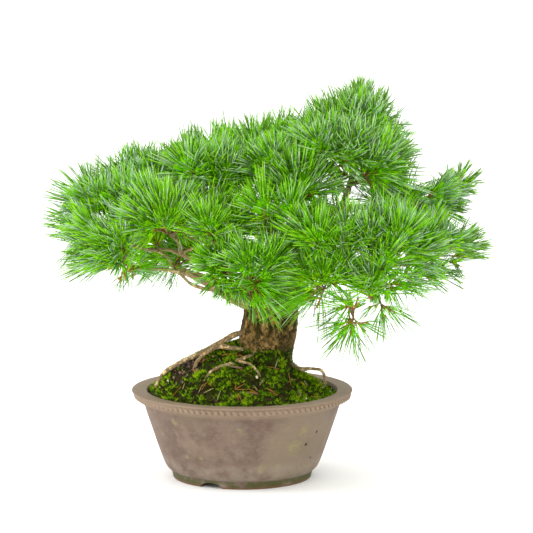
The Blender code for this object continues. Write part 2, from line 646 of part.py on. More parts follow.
def shoots(name, rng):
    """The end and the aim of each shoot: the leading ones, then others on a spiral round the hub."""
    carrier, hub, spread, lean, count = MASSES[name]
    hub = Vector(hub)
    lean = Vector(lean)
    for base, tip in LEADERS.get(name, ()):
        way = Vector(tip) - Vector(base)
        yield Vector(base), way.normalized(), way.length, LEADER_SIDES
    start = rng.uniform(0.0, math.tau)
    for step in range(TRIALS):
        turn = start + step * GOLDEN_TURN
        rise = TOP_RISE - RISE_SPAN * (step + 0.5) / TRIALS
        flat = math.sqrt(1 - rise * rise)
        way = Vector((math.cos(turn) * flat, math.sin(turn) * flat, rise))
        if way.dot(lean) < LEAN_LIMIT:
            continue
        reach = rng.uniform(0.85, 1.15)
        base = hub + Vector((way.x * spread[0], way.y * spread[1], way.z * spread[2])) * reach
        aim = (way + lean + Vector((0.0, 0.0, SHOOT_LIFT))).normalized()
        yield base, aim, NEEDLE * rng.uniform(0.90, 1.0), SIDE_SIDES


def spray(root, bend, base, aim, length, sides, rng, space, mark):
    """A three-sided twig that ends in a slim core, whose faces are drawn out to needles where they fit."""
    line = [root, bend, base - aim * 0.002, base + aim * 0.003, base + aim * SPRAY_LENGTH]
    ways = tangents(line[:3]) + [aim, aim]
    across = ways[0].orthogonal().normalized()
    points = []
    rings = []
    counts = (3, 3, 3, sides, sides)
    twists = (0.0, 0.0, 0.0, 0.0, 0.5)
    for centre, way, radius, count, twist in zip(line, ways, SPRAY_RADII, counts, twists):
        across = (across - way * across.dot(way)).normalized()
        beside = way.cross(across)
        rings.append(list(range(len(points), len(points) + count)))
        for side in range(count):
            angle = math.tau * (side + twist) / count
            points.append(centre + (across * math.cos(angle) + beside * math.sin(angle)) * radius)
    faces = [tuple(reversed(rings[0]))]
    for low, high in zip(rings[:3], rings[1:4]):
        faces += band(low, high)

    top = base + aim * length
    if not (space.reaches(top) and space.clear(base, top, SPRAY_RADII[4] * 0.6)):
        top = base + aim * SPRAY_LENGTH * 1.3
    points.append(top)
    last = len(points) - 1
    space.taken.append((base, top, mark))
    low, high = rings[3:]
    for i in range(sides):
        j = (i + 1) % sides
        faces.append((high[i], high[j], last))
        for corners, step, tilt in (((low[i], low[j], high[i]), i + 0.5, OUTER_TILT),
                                    ((high[i], low[j], high[j]), i + 1, INNER_TILT)):
            tilt += rng.uniform(-NEEDLE_WOBBLE, NEEDLE_WOBBLE)
            angle = math.tau * step / sides + rng.uniform(-NEEDLE_TURN_WOBBLE, NEEDLE_TURN_WOBBLE)
            middle = sum((points[corner] for corner in corners), Vector()) / 3
            out = across * math.cos(angle) + beside * math.sin(angle)
            way = aim * math.cos(tilt) + out * math.sin(tilt)
            tip = needle_tip(middle, way, length * rng.uniform(0.92, 1.02), space, mark)
            if tip is None:
                faces.append(corners)
                continue
            points.append(tip)
            peak = len(points) - 1
            faces += [(corners[k], corners[(k + 1) % 3], peak) for k in range(3)]
    return mesh_of("spray", points, faces)


def needle_tip(middle, way, length, space, mark):
    """Where a needle ends: at its full length, or shorter where there is less room, or nowhere."""
    for share in NEEDLE_SHARES:
        tip = middle + way * length * share
        if (space.reaches(tip) and space.clear(middle, tip, NEEDLE_HALF_WIDTH)
                and space.free(middle, tip, NEEDLE_HALF_WIDTH * 1.2, mark)):
            space.taken.append((middle, tip, mark))
            return tip
    return None


def carrier_tip(carrier):
    if carrier == "trunk":
        line, radii = trunk_line(), trunk_radii()
    else:
        parent, thick, thin, places = BOUGHS[carrier]
        line = limb_line(places)
        radii = limb_radii(line, thick, thin)
    return line[-1], tangents(line)[-1], radii[-1]


def make_mass(name, limbs, leaf):
    rng = random.Random(name)
    carrier, hub, spread, lean, count = MASSES[name]
    space = Space(name, limbs)
    tip, way, thin = carrier_tip(carrier)
    start = tip + way * GAP
    hub = Vector(hub)
    stem_line = [start, start + way * STEM_START, start.lerp(hub, 0.7) + way * 0.002, hub]
    stem_radii = [thin * 0.95, thin * 0.95, *STEM_RADII]
    stem = tube(name, stem_line, stem_radii, STEM_SIDES, first_way=way)
    mass = new_object(name, stem)

    chosen = []
    for base, aim, length, sides in shoots(name, rng):
        if len(chosen) >= count:
            break
        apart = all((base - other[2]).length > SHOOT_APART for other in chosen)
        core_end = base + aim * SPRAY_LENGTH
        if not (apart and space.holds(base, SHOOT_ROOM) and space.clear(base, core_end, SPRAY_ROOM)):
            continue
        root = stem_line[2].lerp(hub, rng.uniform(0.0, 1.0))
        bend = (root + base) / 2 - aim * (base - root).length * TWIG_SAG
        if not (space.clear(root, bend, SPRAY_RADII[0]) and space.clear(bend, base, SPRAY_RADII[1])):
            continue
        mark = len(chosen)
        space.taken += [(root, bend, mark), (bend, base, mark)]
        chosen.append((root, bend, base, aim, length, sides))

    pieces = bpy.data.collections.new(name)
    bpy.context.scene.collection.children.link(pieces)
    for mark, place in enumerate(chosen):
        pieces.objects.link(bpy.data.objects.new("spray", spray(*place, rng, space, mark)))
    boolean(mass, "UNION", pieces, "MANIFOLD")
    remove(pieces.objects)
    bpy.data.collections.remove(pieces)
    tidy_body(mass)
    mass.data.materials.clear()
    mass.data.materials.append(leaf)
    return mass


clear_scene()
bark_paint = material("pine_bark", (0.150, 0.095, 0.050), 0.90)
leaf_paint = material("pine_needles", (0.085, 0.240, 0.045), 0.55)
make_pot()
make_soil()
make_limbs(bark_paint)
make_roots(bark_paint)
limb_pieces = limb_segments()
for mass_name in MASSES:
    make_mass(mass_name, limb_pieces, leaf_paint)
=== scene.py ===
"""Looks for a potted Japanese white pine: stoneware pot, mossy mound, barked trunk and boughs, fine needles."""
import math
import random

import bmesh
import bpy
import numpy as np
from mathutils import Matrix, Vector, noise


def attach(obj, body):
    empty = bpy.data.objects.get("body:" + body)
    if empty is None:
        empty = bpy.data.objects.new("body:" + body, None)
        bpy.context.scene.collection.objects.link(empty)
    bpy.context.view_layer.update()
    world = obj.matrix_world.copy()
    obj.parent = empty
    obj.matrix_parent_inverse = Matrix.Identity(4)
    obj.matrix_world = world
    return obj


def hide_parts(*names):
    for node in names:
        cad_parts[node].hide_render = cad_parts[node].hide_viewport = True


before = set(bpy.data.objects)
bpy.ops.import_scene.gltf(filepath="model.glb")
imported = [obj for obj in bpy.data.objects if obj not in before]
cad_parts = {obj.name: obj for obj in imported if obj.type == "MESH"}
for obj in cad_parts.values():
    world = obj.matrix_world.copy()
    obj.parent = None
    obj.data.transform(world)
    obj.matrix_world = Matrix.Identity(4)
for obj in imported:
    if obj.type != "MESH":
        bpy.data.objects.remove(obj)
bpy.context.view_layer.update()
bpy.ops.object.select_all(action="DESELECT")


# Studio
# A pale floor under soft light from all round, with one broad lamp above the viewer's left shoulder.
# The camera stands 3.5 m off and looks slightly down, as the picture of the tree was taken.

LOOK_AT = Vector((0.0, 0.0, 0.213))
DISTANCE = 3.5
ELEVATION = math.radians(8.6)
SEEN_WIDTH = 0.533
SENSOR = 36.0

back = Vector((0.0, -math.cos(ELEVATION), math.sin(ELEVATION)))
bpy.ops.object.camera_add(location=LOOK_AT + back * DISTANCE, rotation=(math.pi / 2 - ELEVATION, 0.0, 0.0))
camera = bpy.context.object
camera.data.sensor_width = SENSOR
camera.data.lens = SENSOR * DISTANCE / SEEN_WIDTH
camera.data.clip_end = 60.0
bpy.context.scene.camera = camera

bpy.ops.mesh.primitive_plane_add(size=40.0, location=(0.0, 8.0, 0.0))
floor = bpy.context.object
floor.name = "floor"
floor_paint = bpy.data.materials.new("pale_floor")
floor_paint.use_nodes = True
floor_paint.node_tree.nodes["Principled BSDF"].inputs["Base Color"].default_value = (0.98, 0.98, 0.97, 1.0)
floor_paint.node_tree.nodes["Principled BSDF"].inputs["Roughness"].default_value = 0.9
floor.data.materials.append(floor_paint)

world = bpy.data.worlds.new("studio_light")
world.use_nodes = True
world.node_tree.nodes["Background"].inputs["Color"].default_value = (1.0, 1.0, 1.0, 1.0)
world.node_tree.nodes["Background"].inputs["Strength"].default_value = 1.42
bpy.context.scene.world = world
bpy.context.scene.view_settings.view_transform = "Standard"


def add_lamp(name, place, size, power):
    bpy.ops.object.light_add(type="AREA", location=place)
    lamp = bpy.context.object
    lamp.name = name
    lamp.data.size = size
    lamp.data.energy = power
    lamp.rotation_euler = (LOOK_AT - Vector(place)).to_track_quat("-Z", "Y").to_euler()


add_lamp("lamp_front", (-0.7, -2.6, 1.1), 1.6, 9.0)
add_lamp("lamp_left", (-2.3, -0.2, 1.2), 1.2, 28.0)
add_lamp("lamp_right", (2.3, -0.3, 1.0), 1.2, 3.0)
add_lamp("lamp_above", (0.2, 0.5, 2.6), 1.4, 16.0)


# Pot
# A round bowl of unglazed grey-brown stoneware with a wide flat lip, thrown on a wheel. It stands on a foot
# ring with three arched drain notches, and its fired clay has gone mossy and spotted with lichen.

POT_CENTRE = Vector((-0.0245, 0.0, 0.0))
POT_SIDES = 160
MOUTH_RADIUS = 0.0956
POT_SECTION = (
    (0.0110, 0.0145), (0.0110, 0.0060), (0.0596, 0.0060), (0.0600, 0.0052), (0.0605, 0.0006), (0.0610, 0.0),
    (0.0688, 0.0), (0.0696, 0.0008), (0.0708, 0.0060), (0.0709, 0.0074), (0.0711, 0.0079), (0.0718, 0.0081),
    (0.0735, 0.0094), (0.0755, 0.0113), (0.0769, 0.0134), (0.0781, 0.0156), (0.0804, 0.0214), (0.0830, 0.0285),
    (0.0877, 0.0420), (0.0919, 0.0545), (0.0960, 0.0665), (0.0984, 0.0746), (0.0989, 0.0762), (0.1001, 0.0783),
    (0.1044, 0.0798), (0.1062, 0.0805), (0.1073, 0.0814), (0.1077, 0.0821), (0.1075, 0.0826), (0.1077, 0.0832),
    (0.1083, 0.0850),
    (0.1086, 0.0867), (0.1096, 0.0872), (0.1107, 0.0877), (0.1110, 0.0884), (0.1103, 0.0891), (0.1084, 0.0893),
    (0.1010, 0.0890), (0.0972, 0.0889), (0.0962, 0.0889), (0.0956, 0.0884), (0.0950, 0.0860), (0.0930, 0.0800),
    (0.0890, 0.0700), (0.0676, 0.0175), (0.0635, 0.0145),
)


def loft(name, sides, section, centre):
    """A round piece drawn up from a circle by extruding and scaling its edge through a section."""
    bpy.ops.object.select_all(action="DESELECT")
    radius, height = section[0]
    bpy.ops.mesh.primitive_circle_add(vertices=sides, radius=radius, location=(centre.x, centre.y, height))
    piece = bpy.context.object
    piece.name = name
    bpy.ops.object.transform_apply(location=True, rotation=False, scale=False)
    bpy.ops.object.mode_set(mode="EDIT")
    bpy.ops.mesh.select_all(action="SELECT")
    for next_radius, next_height in section[1:]:
        bpy.ops.mesh.extrude_edges_move(TRANSFORM_OT_translate={"value": (0.0, 0.0, next_height - height)})
        share = next_radius / radius
        bpy.ops.transform.resize(value=(share, share, 1.0), center_override=(centre.x, centre.y, next_height))
        radius, height = next_radius, next_height
    bpy.ops.object.mode_set(mode="OBJECT")
    return piece


def close_section(piece, first, last):
    """Bridge the section's two end rings, so that the wall is one closed body."""
    bpy.ops.object.mode_set(mode="EDIT")
    bpy.ops.mesh.select_all(action="DESELECT")
    bpy.ops.mesh.select_mode(type="EDGE")
    bpy.ops.mesh.select_non_manifold()
    bpy.ops.mesh.bridge_edge_loops()
    bpy.ops.mesh.select_all(action="SELECT")
    bpy.ops.mesh.normals_make_consistent(inside=False)
    bpy.ops.object.mode_set(mode="OBJECT")


def cut(piece, cutters):
    """Cut pieces out of another with Boolean modifiers that are applied, and take the cutters away."""
    for cutter in cutters:
        modifier = piece.modifiers.new("cut", "BOOLEAN")
        modifier.operation = "DIFFERENCE"
        modifier.object = cutter
        bpy.context.view_layer.objects.active = piece
        bpy.ops.object.modifier_apply(modifier=modifier.name)
        bpy.data.objects.remove(cutter, do_unlink=True)


def join(name, pieces):
    bpy.ops.object.select_all(action="DESELECT")
    for piece in pieces:
        piece.select_set(True)
    bpy.context.view_layer.objects.active = pieces[0]
    bpy.ops.object.join()
    joined = bpy.context.object
    joined.name = name
    bpy.ops.object.transform_apply(location=True, rotation=True, scale=True)
    return joined


pot = loft("stoneware_pot", POT_SIDES, POT_SECTION, POT_CENTRE)
close_section(pot, POT_SECTION[0], POT_SECTION[-1])

NOTCH_COUNT = 3
NOTCH_TURN = math.radians(243.5)
NOTCH_WIDTH = 0.024
NOTCH_HEIGHT = 0.0055
cutters = []
for index in range(NOTCH_COUNT):
    turn = NOTCH_TURN + math.tau * index / NOTCH_COUNT
    bpy.ops.mesh.primitive_cylinder_add(
        vertices=32, radius=1.0, depth=0.022, rotation=(math.pi / 2, 0.0, turn + math.pi / 2),
        location=POT_CENTRE + Vector((math.cos(turn), math.sin(turn), 0.0)) * 0.066)
    cutter = bpy.context.object
    cutter.scale = (NOTCH_WIDTH / 2, NOTCH_HEIGHT, 1.0)
    cutters.append(cutter)

# Three small pits, where grit burnt out of the clay
PITS = ((-36.5, 0.0558, 0.0011), (-44.1, 0.0443, 0.0013), (-35.0, 0.0281, 0.0010))
for degrees, height, radius in PITS:
    turn = math.radians(degrees)
    wall = 0.0797 + (height - 0.0156) * (0.0968 - 0.0797) / (0.0722 - 0.0156)
    bpy.ops.mesh.primitive_ico_sphere_add(
        subdivisions=2, radius=radius * 1.25,
        location=POT_CENTRE + Vector((math.cos(turn) * wall, math.sin(turn) * wall, height)))
    cutters.append(bpy.context.object)
cut(pot, cutters)
pot.data.shade_smooth()
pot.data.set_sharp_from_angle(angle=math.radians(38))


class Recipe:
    """Nodes of one material, added and linked by short calls."""

    def __init__(self, name, roughness):
        self.paint = bpy.data.materials.new(name)
        self.paint.use_nodes = True
        self.tree = self.paint.node_tree
        self.shader = self.tree.nodes["Principled BSDF"]
        self.shader.inputs["Roughness"].default_value = roughness
        self.place = self.add("ShaderNodeTexCoord").outputs["Object"]

    def add(self, kind, **values):
        node = self.tree.nodes.new(kind)
        for name, value in values.items():
            setattr(node, name, value)
        return node

    def link(self, source, target):
        self.tree.links.new(source, target)

    def stretched(self, scale):
        node = self.add("ShaderNodeMapping")
        node.inputs["Scale"].default_value = scale
        self.link(self.place, node.inputs["Vector"])
        return node.outputs["Vector"]

    def noise(self, scale, detail=4.0, roughness=0.55, place=None):
        node = self.add("ShaderNodeTexNoise")
        node.inputs["Scale"].default_value = scale
        node.inputs["Detail"].default_value = detail
        node.inputs["Roughness"].default_value = roughness
        self.link(place or self.place, node.inputs["Vector"])
        return node.outputs["Fac"]

    def cells(self, scale, place=None):
        node = self.add("ShaderNodeTexVoronoi")
        node.inputs["Scale"].default_value = scale
        self.link(place or self.place, node.inputs["Vector"])
        return node.outputs["Distance"]

    def edges(self, scale, place=None):
        node = self.add("ShaderNodeTexVoronoi", feature="DISTANCE_TO_EDGE")
        node.inputs["Scale"].default_value = scale
        self.link(place or self.place, node.inputs["Vector"])
        return node.outputs["Distance"]

    def warped(self, stretch, scale, amount):
        """Stretched coordinates, pushed about by a coarse noise so that no pattern runs straight."""
        node = self.add("ShaderNodeTexNoise")
        node.inputs["Scale"].default_value = scale
        self.link(self.place, node.inputs["Vector"])
        push = self.add("ShaderNodeVectorMath", operation="MULTIPLY_ADD")
        push.inputs[1].default_value = (amount, amount, amount)
        self.link(node.outputs["Color"], push.inputs[0])
        self.link(self.stretched(stretch), push.inputs[2])
        return push.outputs["Vector"]

    def step(self, value, low, high, start=0.0, end=1.0):
        node = self.add("ShaderNodeMapRange", interpolation_type="SMOOTHSTEP")
        for name, number in zip(("From Min", "From Max", "To Min", "To Max"), (low, high, start, end)):
            node.inputs[name].default_value = number
        self.link(value, node.inputs["Value"])
        return node.outputs["Result"]

    def sum(self, a, b, operation="ADD"):
        node = self.add("ShaderNodeMath", operation=operation)
        for socket, value in zip(node.inputs, (a, b)):
            if isinstance(value, (int, float)):
                socket.default_value = value
            else:
                self.link(value, socket)
        return node.outputs["Value"]

    def mix(self, share, a, b):
        node = self.add("ShaderNodeMix", data_type="RGBA")
        self.link(share, node.inputs["Factor"])
        for socket, value in ((node.inputs["A"], a), (node.inputs["B"], b)):
            if isinstance(value, tuple):
                socket.default_value = (*value, 1.0)
            else:
                self.link(value, socket)
        return node.outputs["Result"]

    def height(self):
        node = self.add("ShaderNodeSeparateXYZ")
        self.link(self.place, node.inputs["Vector"])
        return node.outputs["Z"]

    def near(self, point, low, high):
        """1 at a point, and 0 further than high away from it."""
        node = self.add("ShaderNodeVectorMath", operation="DISTANCE")
        self.link(self.place, node.inputs[0])
        node.inputs[1].default_value = point
        return self.step(node.outputs["Value"], low, high, 1.0, 0.0)

    def colour(self, value):
        self.link(value, self.shader.inputs["Base Color"])

    def rough(self, value):
        self.link(value, self.shader.inputs["Roughness"])

    def bump(self, value, distance, strength=1.0):
        node = self.add("ShaderNodeBump")
        node.inputs["Distance"].default_value = distance
        node.inputs["Strength"].default_value = strength
        self.link(value, node.inputs["Height"])
        self.link(node.outputs["Normal"], self.shader.inputs["Normal"])


def on_pot(degrees, height):
    turn = math.radians(degrees)
    radius = 0.0784 + (height - 0.0156) * (0.0979 - 0.0784) / (0.0722 - 0.0156)
    return POT_CENTRE + Vector((math.cos(turn) * radius, math.sin(turn) * radius, height))


def stoneware():
    clay = Recipe("stoneware", 0.72)
    cloud = clay.step(clay.noise(30.0, 6.0, 0.66), 0.38, 0.62)
    base = clay.mix(cloud, (0.114, 0.068, 0.047), (0.188, 0.130, 0.092))
    fleck = clay.step(clay.noise(110.0, 5.0, 0.7), 0.50, 0.70, 0.0, 0.40)
    base = clay.mix(fleck, base, (0.255, 0.192, 0.142))
    wash = clay.step(clay.noise(9.0, 3.0, place=clay.stretched((1.0, 1.0, 0.55))), 0.47, 0.66)
    base = clay.mix(clay.sum(wash, 0.60, "MULTIPLY"), base, (0.205, 0.155, 0.096))
    speckle = clay.step(clay.cells(520.0), 0.10, 0.24, 0.55, 0.0)
    base = clay.mix(speckle, base, (0.075, 0.046, 0.034))
    brushed = clay.noise(1.0, 6.0, 0.6, clay.stretched((55.0, 55.0, 900.0)))
    base = clay.mix(clay.step(brushed, 0.50, 0.80, 0.0, 0.35), base, (0.250, 0.196, 0.150))
    for degrees, height, size in ((-91.4, 0.0639, 0.0036), (-133.5, 0.0680, 0.0046), (-53.6, 0.0434, 0.0095),
                                  (-48.9, 0.0595, 0.0065), (-76.5, 0.0225, 0.0060), (-63.6, 0.0240, 0.0042),
                                  (-118.4, 0.0332, 0.0025), (-130.2, 0.0324, 0.0030), (-152, 0.0346, 0.0030),
                                  (-36.4, 0.0203, 0.0050), (70, 0.040, 0.0050), (120, 0.052, 0.0040),
                                  (20, 0.030, 0.0060), (170, 0.044, 0.0050)):
        spot = clay.near(on_pot(degrees, height), size * 0.3, size * 1.3)
        ragged = clay.sum(spot, clay.step(clay.noise(240.0), 0.30, 0.60), "MULTIPLY")
        base = clay.mix(clay.sum(ragged, 0.55, "MULTIPLY"), base, (0.250, 0.225, 0.085))
    # Each pit and a ring round its mouth are painted near-black: painted shade in the pits.
    for degrees, height, radius in PITS:
        base = clay.mix(clay.near(on_pot(degrees, height), radius * 0.8, radius * 1.8), base, (0.060, 0.045, 0.035))
    low = clay.height()
    # From z 0.0745 up, the lip and the rope band are painted lighter and warmer: painted light on the lip, which
    # catches more light than the body.
    base = clay.mix(clay.step(low, 0.0745, 0.0790, 0.0, 0.60), base, (0.285, 0.200, 0.128))
    bloom = clay.sum(clay.step(low, 0.0320, 0.0170, 0.0, 0.60), clay.step(clay.noise(75.0, 5.0), 0.30, 0.60), "MULTIPLY")
    base = clay.mix(bloom, base, (0.270, 0.220, 0.165))
    green = clay.sum(clay.step(low, 0.0100, 0.0065), clay.step(clay.noise(70.0, 4.0), 0.30, 0.52), "MULTIPLY")
    base = clay.mix(green, base, (0.064, 0.062, 0.011))
    stain = clay.sum(clay.step(low, 0.0035, 0.0005), 0.8, "MULTIPLY")
    base = clay.mix(stain, base, (0.190, 0.085, 0.040))
    clay.colour(base)
    clay.rough(clay.step(clay.noise(60.0), 0.3, 0.7, 0.62, 0.84))
    grain = clay.sum(clay.noise(700.0, 3.0), clay.sum(brushed, 0.6, "MULTIPLY"))
    clay.bump(grain, 0.00035, 0.7)
    return clay.paint


stoneware_paint = stoneware()
pot.data.materials.append(stoneware_paint)
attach(pot, "root")
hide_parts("pot")

# Rope band: a roll of clay pressed on under the lip, notched at a slant all round and worn smooth at the left

STRANDS = 108
STRAND_SLANT = math.radians(-34)
WORN_TURN = math.radians(-155)
strands = []
for index in range(STRANDS):
    turn = math.tau * index / STRANDS
    bpy.ops.mesh.primitive_uv_sphere_add(segments=10, ring_count=8, radius=1.0)
    strand = bpy.context.object
    strand.scale = (0.0024, 0.0014, 0.0038)
    strand.rotation_euler = (0.0, STRAND_SLANT, 0.0)
    bpy.ops.object.transform_apply(location=False, rotation=True, scale=True)
    strand.rotation_euler = (math.radians(-6), 0.0, turn + math.pi / 2)
    reach = 0.1082 - 0.0014 * max(0.0, math.cos(turn - WORN_TURN)) ** 8
    strand.location = POT_CENTRE + Vector((math.cos(turn) * reach, math.sin(turn) * reach, 0.0846))
    strands.append(strand)
band = join("pot_rope_band", strands)
band.data.shade_smooth()
band.data.materials.append(stoneware_paint)
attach(band, "root")


# Mound
# The soil is heaped over the lip and grown over with moss, in hummocks with dark hollows between them, where the dark
# soil shows and the sprigs are painted darker: painted shade in the hollows.
# Grit shows at the left, and fallen needles, bits of twig and a few pale stones lie on the moss.

SOIL_EDGE_HEIGHT = 0.0845
DOME_RISE = 0.052
DOME_POWER = 1.6
MOUND_RADIUS = 0.0942
MOUND_SIDES = 150
MOUND_RINGS = 42
HUMMOCK = 0.0040


def hummock(x, y):
    """How high the moss swells at a place, from 0 in the hollows to 1."""
    spot = Vector((x * 95.0, y * 95.0, 8.3))
    swell = noise.noise(spot) * 0.50 + noise.noise(spot * 2.4) * 0.45 + noise.noise(spot * 5.3) * 0.30 + 0.48
    return min(1.0, max(0.0, swell))


def mound_height(x, y):
    """The heap's own dome, with a bank under the long left root, a collar at the trunk and a lower right side."""
    radius = math.hypot(x - POT_CENTRE.x, y - POT_CENTRE.y)
    share = min(1.0, radius / MOUTH_RADIUS)
    fade = min(1.0, (1.0 - share) / 0.12)
    along = min(1.0, max(0.0, (-0.040 - x) / 0.012))
    beside = (y + 0.008 - (x + 0.024) * 0.276) / 0.016
    outward = min(1.0, max(0.0, (-0.068 - x) / 0.018))
    bank = (0.0020 + 0.0080 * outward) * along * math.exp(-beside * beside)
    collar = max(0.0, 0.0050 + x * (0.50 if x > 0.0 else 0.34))
    collar *= math.exp(-(max(0.0, math.hypot(x + 0.002, y) - 0.0300) / 0.0075) ** 2)
    collar *= min(1.0, max(0.0, (0.0255 - x) / 0.003))
    slump = 0.0075 * min(1.0, max(0.0, (x - 0.006) / 0.022))
    swell = (hummock(x, y) - 0.5) * HUMMOCK
    return SOIL_EDGE_HEIGHT + DOME_RISE * (1 - share ** DOME_POWER) + (bank + collar - slump + swell) * fade


section = [(0.0600, 0.0620), (MOUND_RADIUS - 0.0030, 0.0700), (MOUND_RADIUS, 0.0810)]
for ring in range(MOUND_RINGS):
    radius = MOUND_RADIUS * (1 - ring / MOUND_RINGS)
    section.append((max(radius, 0.0006), SOIL_EDGE_HEIGHT))
mound = loft("mossy_mound", MOUND_SIDES, section, POT_CENTRE)
for vert in mound.data.vertices:
    if vert.co.z > SOIL_EDGE_HEIGHT - 0.0005:
        vert.co.z = mound_height(vert.co.x, vert.co.y)
bpy.ops.object.mode_set(mode="EDIT")
bpy.ops.mesh.select_all(action="DESELECT")
bpy.ops.mesh.select_mode(type="EDGE")
bpy.ops.mesh.select_non_manifold()
bpy.ops.mesh.fill_holes(sides=0)
bpy.ops.mesh.select_all(action="SELECT")
bpy.ops.mesh.normals_make_consistent(inside=False)
bpy.ops.object.mode_set(mode="OBJECT")
mound.data.shade_smooth()


def dark_soil():
    soil = Recipe("dark_soil", 0.95)
    soil.shader.inputs["Specular IOR Level"].default_value = 0.05
    grain = soil.step(soil.noise(320.0, 5.0), 0.35, 0.65)
    base = soil.mix(grain, (0.012, 0.009, 0.004), (0.050, 0.036, 0.016))
    green = soil.step(soil.noise(95.0, 4.0), 0.44, 0.60, 0.0, 0.75)
    soil.colour(soil.mix(green, base, (0.030, 0.050, 0.004)))
    soil.bump(soil.noise(600.0, 4.0), 0.0008, 0.9)
    return soil.paint


mound.data.materials.append(dark_soil())
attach(mound, "root")
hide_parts("soil")


def build_mesh(name, points, triangles):
    """A mesh object straight from an array of points and an array of triangles."""
    mesh = bpy.data.meshes.new(name)
    mesh.vertices.add(len(points))
    mesh.vertices.foreach_set("co", np.asarray(points, np.float32).ravel())
    count = len(triangles)
    mesh.loops.add(count * 3)
    mesh.loops.foreach_set("vertex_index", np.asarray(triangles, np.int32).ravel())
    mesh.polygons.add(count)
    mesh.polygons.foreach_set("loop_start", np.arange(0, count * 3, 3, dtype=np.int32))
    mesh.update(calc_edges=True)
    mesh.validate()
    thing = bpy.data.objects.new(name, mesh)
    bpy.context.scene.collection.objects.link(thing)
    return thing


def plain(name, colour, roughness, shine=0.3):
    """One plain colour, as the fine growing parts have."""
    paint = bpy.data.materials.new(name)
    paint.use_nodes = True
    shader = paint.node_tree.nodes["Principled BSDF"]
    shader.inputs["Base Color"].default_value = (*colour, 1.0)
    shader.inputs["Roughness"].default_value = roughness
    shader.inputs["Specular IOR Level"].default_value = shine
    return paint


def across_of(ways):
    """Two unit vectors square to each of the given ways."""
    helper = np.where(np.abs(ways[:, 2:3]) > 0.9, np.array([[1.0, 0.0, 0.0]]), np.array([[0.0, 0.0, 1.0]]))
    across = np.cross(ways, helper)
    across /= np.linalg.norm(across, axis=1, keepdims=True)
    return across, np.cross(ways, across)


def blades(name, roots, ways, lengths, radii, bends, stations, pointed=True):
    """Three-sided blades bent by a vector at the tip, closed at the root and at the point or the cut end.

    stations are (share of the length, share of the radius) for each ring before the point.
    """
    count = len(roots)
    across, beside = across_of(ways)
    rows = []
    for share, thick in stations:
        centre = roots + ways * (lengths * share)[:, None] + bends * (share * share)
        for corner in range(3):
            angle = math.tau * corner / 3
            out = across * math.cos(angle) + beside * math.sin(angle)
            rows.append(centre + out * (radii * thick)[:, None])
    if pointed:
        rows.append(roots + ways * lengths[:, None] + bends)
    points = np.stack(rows, axis=1).reshape(-1, 3)
    one = [(0, 2, 1)]
    for ring in range(len(stations) - 1):
        low, high = ring * 3, ring * 3 + 3
        for corner in range(3):
            following = (corner + 1) % 3
            one += [(low + corner, low + following, high + following), (low + corner, high + following, high + corner)]
    low = len(stations) * 3 - 3
    if pointed:
        one += [(low + corner, low + (corner + 1) % 3, low + 3) for corner in range(3)]
    else:
        one.append((low, low + 1, low + 2))
    triangles = (np.array(one)[None] + (np.arange(count) * len(rows))[:, None, None]).reshape(-1, 3)
    return build_mesh(name, points, triangles)


SPRIGS = 12800
SPRIG_BLADES = 6
draw = random.Random("moss")
sprigs = {"lime": [], "bright": [], "green": [], "olive": []}
for index in range(SPRIGS):
    radius = (MOUND_RADIUS - 0.002) * math.sqrt(draw.random())
    turn = draw.uniform(0.0, math.tau)
    x = POT_CENTRE.x + radius * math.cos(turn)
    y = radius * math.sin(turn)
    swell = hummock(x, y)
    tone = swell + draw.uniform(-0.36, 0.36)
    grit = math.hypot((x + 0.080) / 0.017, (y + 0.026) / 0.020) < 1.0
    if draw.random() > 0.10 + 1.20 * swell or (grit and draw.random() < 0.85):
        continue
    # The sprigs' tone follows the hummock's height, lime on the tops and dark olive in the hollows: partly the moss's
    # own colour, partly painted shade in the hollows.
    kind = "lime" if tone > 0.92 else "bright" if tone > 0.62 else "green" if tone > 0.38 else "olive"
    foot = Vector((x, y, mound_height(x, y) - 0.0008))
    out = Vector((x - POT_CENTRE.x, y, 0.0)) * 4.5
    for blade in range(SPRIG_BLADES):
        spread = Vector((draw.gauss(0.0, 0.60), draw.gauss(0.0, 0.60), 1.0)) + out
        tall = draw.uniform(0.0021, 0.0046) * (0.60 + 0.7 * swell)
        sprigs[kind].append((foot, spread.normalized(), tall))
MOSS_COLOURS = {
    "lime": (0.330, 0.490, 0.010), "bright": (0.140, 0.285, 0.004), "green": (0.034, 0.085, 0.002),
    "olive": (0.030, 0.026, 0.003),
}
for kind, rows in sprigs.items():
    moss = blades("moss_" + kind, np.array([row[0][:] for row in rows]), np.array([row[1][:] for row in rows]),
                  np.array([row[2] for row in rows]), np.full(len(rows), 0.00050),
                  np.zeros((len(rows), 3)), ((0.0, 1.0),))
    moss.data.materials.append(plain("moss_" + kind, MOSS_COLOURS[kind], 0.8, 0.03))
    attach(moss, "root")


# Litter
# Grit at the left where the moss is thin, two or three pale pebbles, a bit of twig, and this tree's own dead
# needles, orange-brown, lying on the moss singly and in pairs.

PEBBLES = (
    (-0.0094, -0.0600, 0.0021), (0.0637, -0.0090, 0.0018), (0.0650, 0.0100, 0.0016), (0.0391, -0.0550, 0.0016),
    (0.0300, -0.0640, 0.0013), (-0.0980, -0.0380, 0.0014), (-0.0450, 0.0600, 0.0019), (0.0250, 0.0550, 0.0017),
)
GRIT_GRAINS = 110
FALLEN_NEEDLES = 60
STRAWS = 14
draw = random.Random("litter")


def lay(x, y, lift=0.0022):
    return Vector((x, y, mound_height(x, y) + lift))


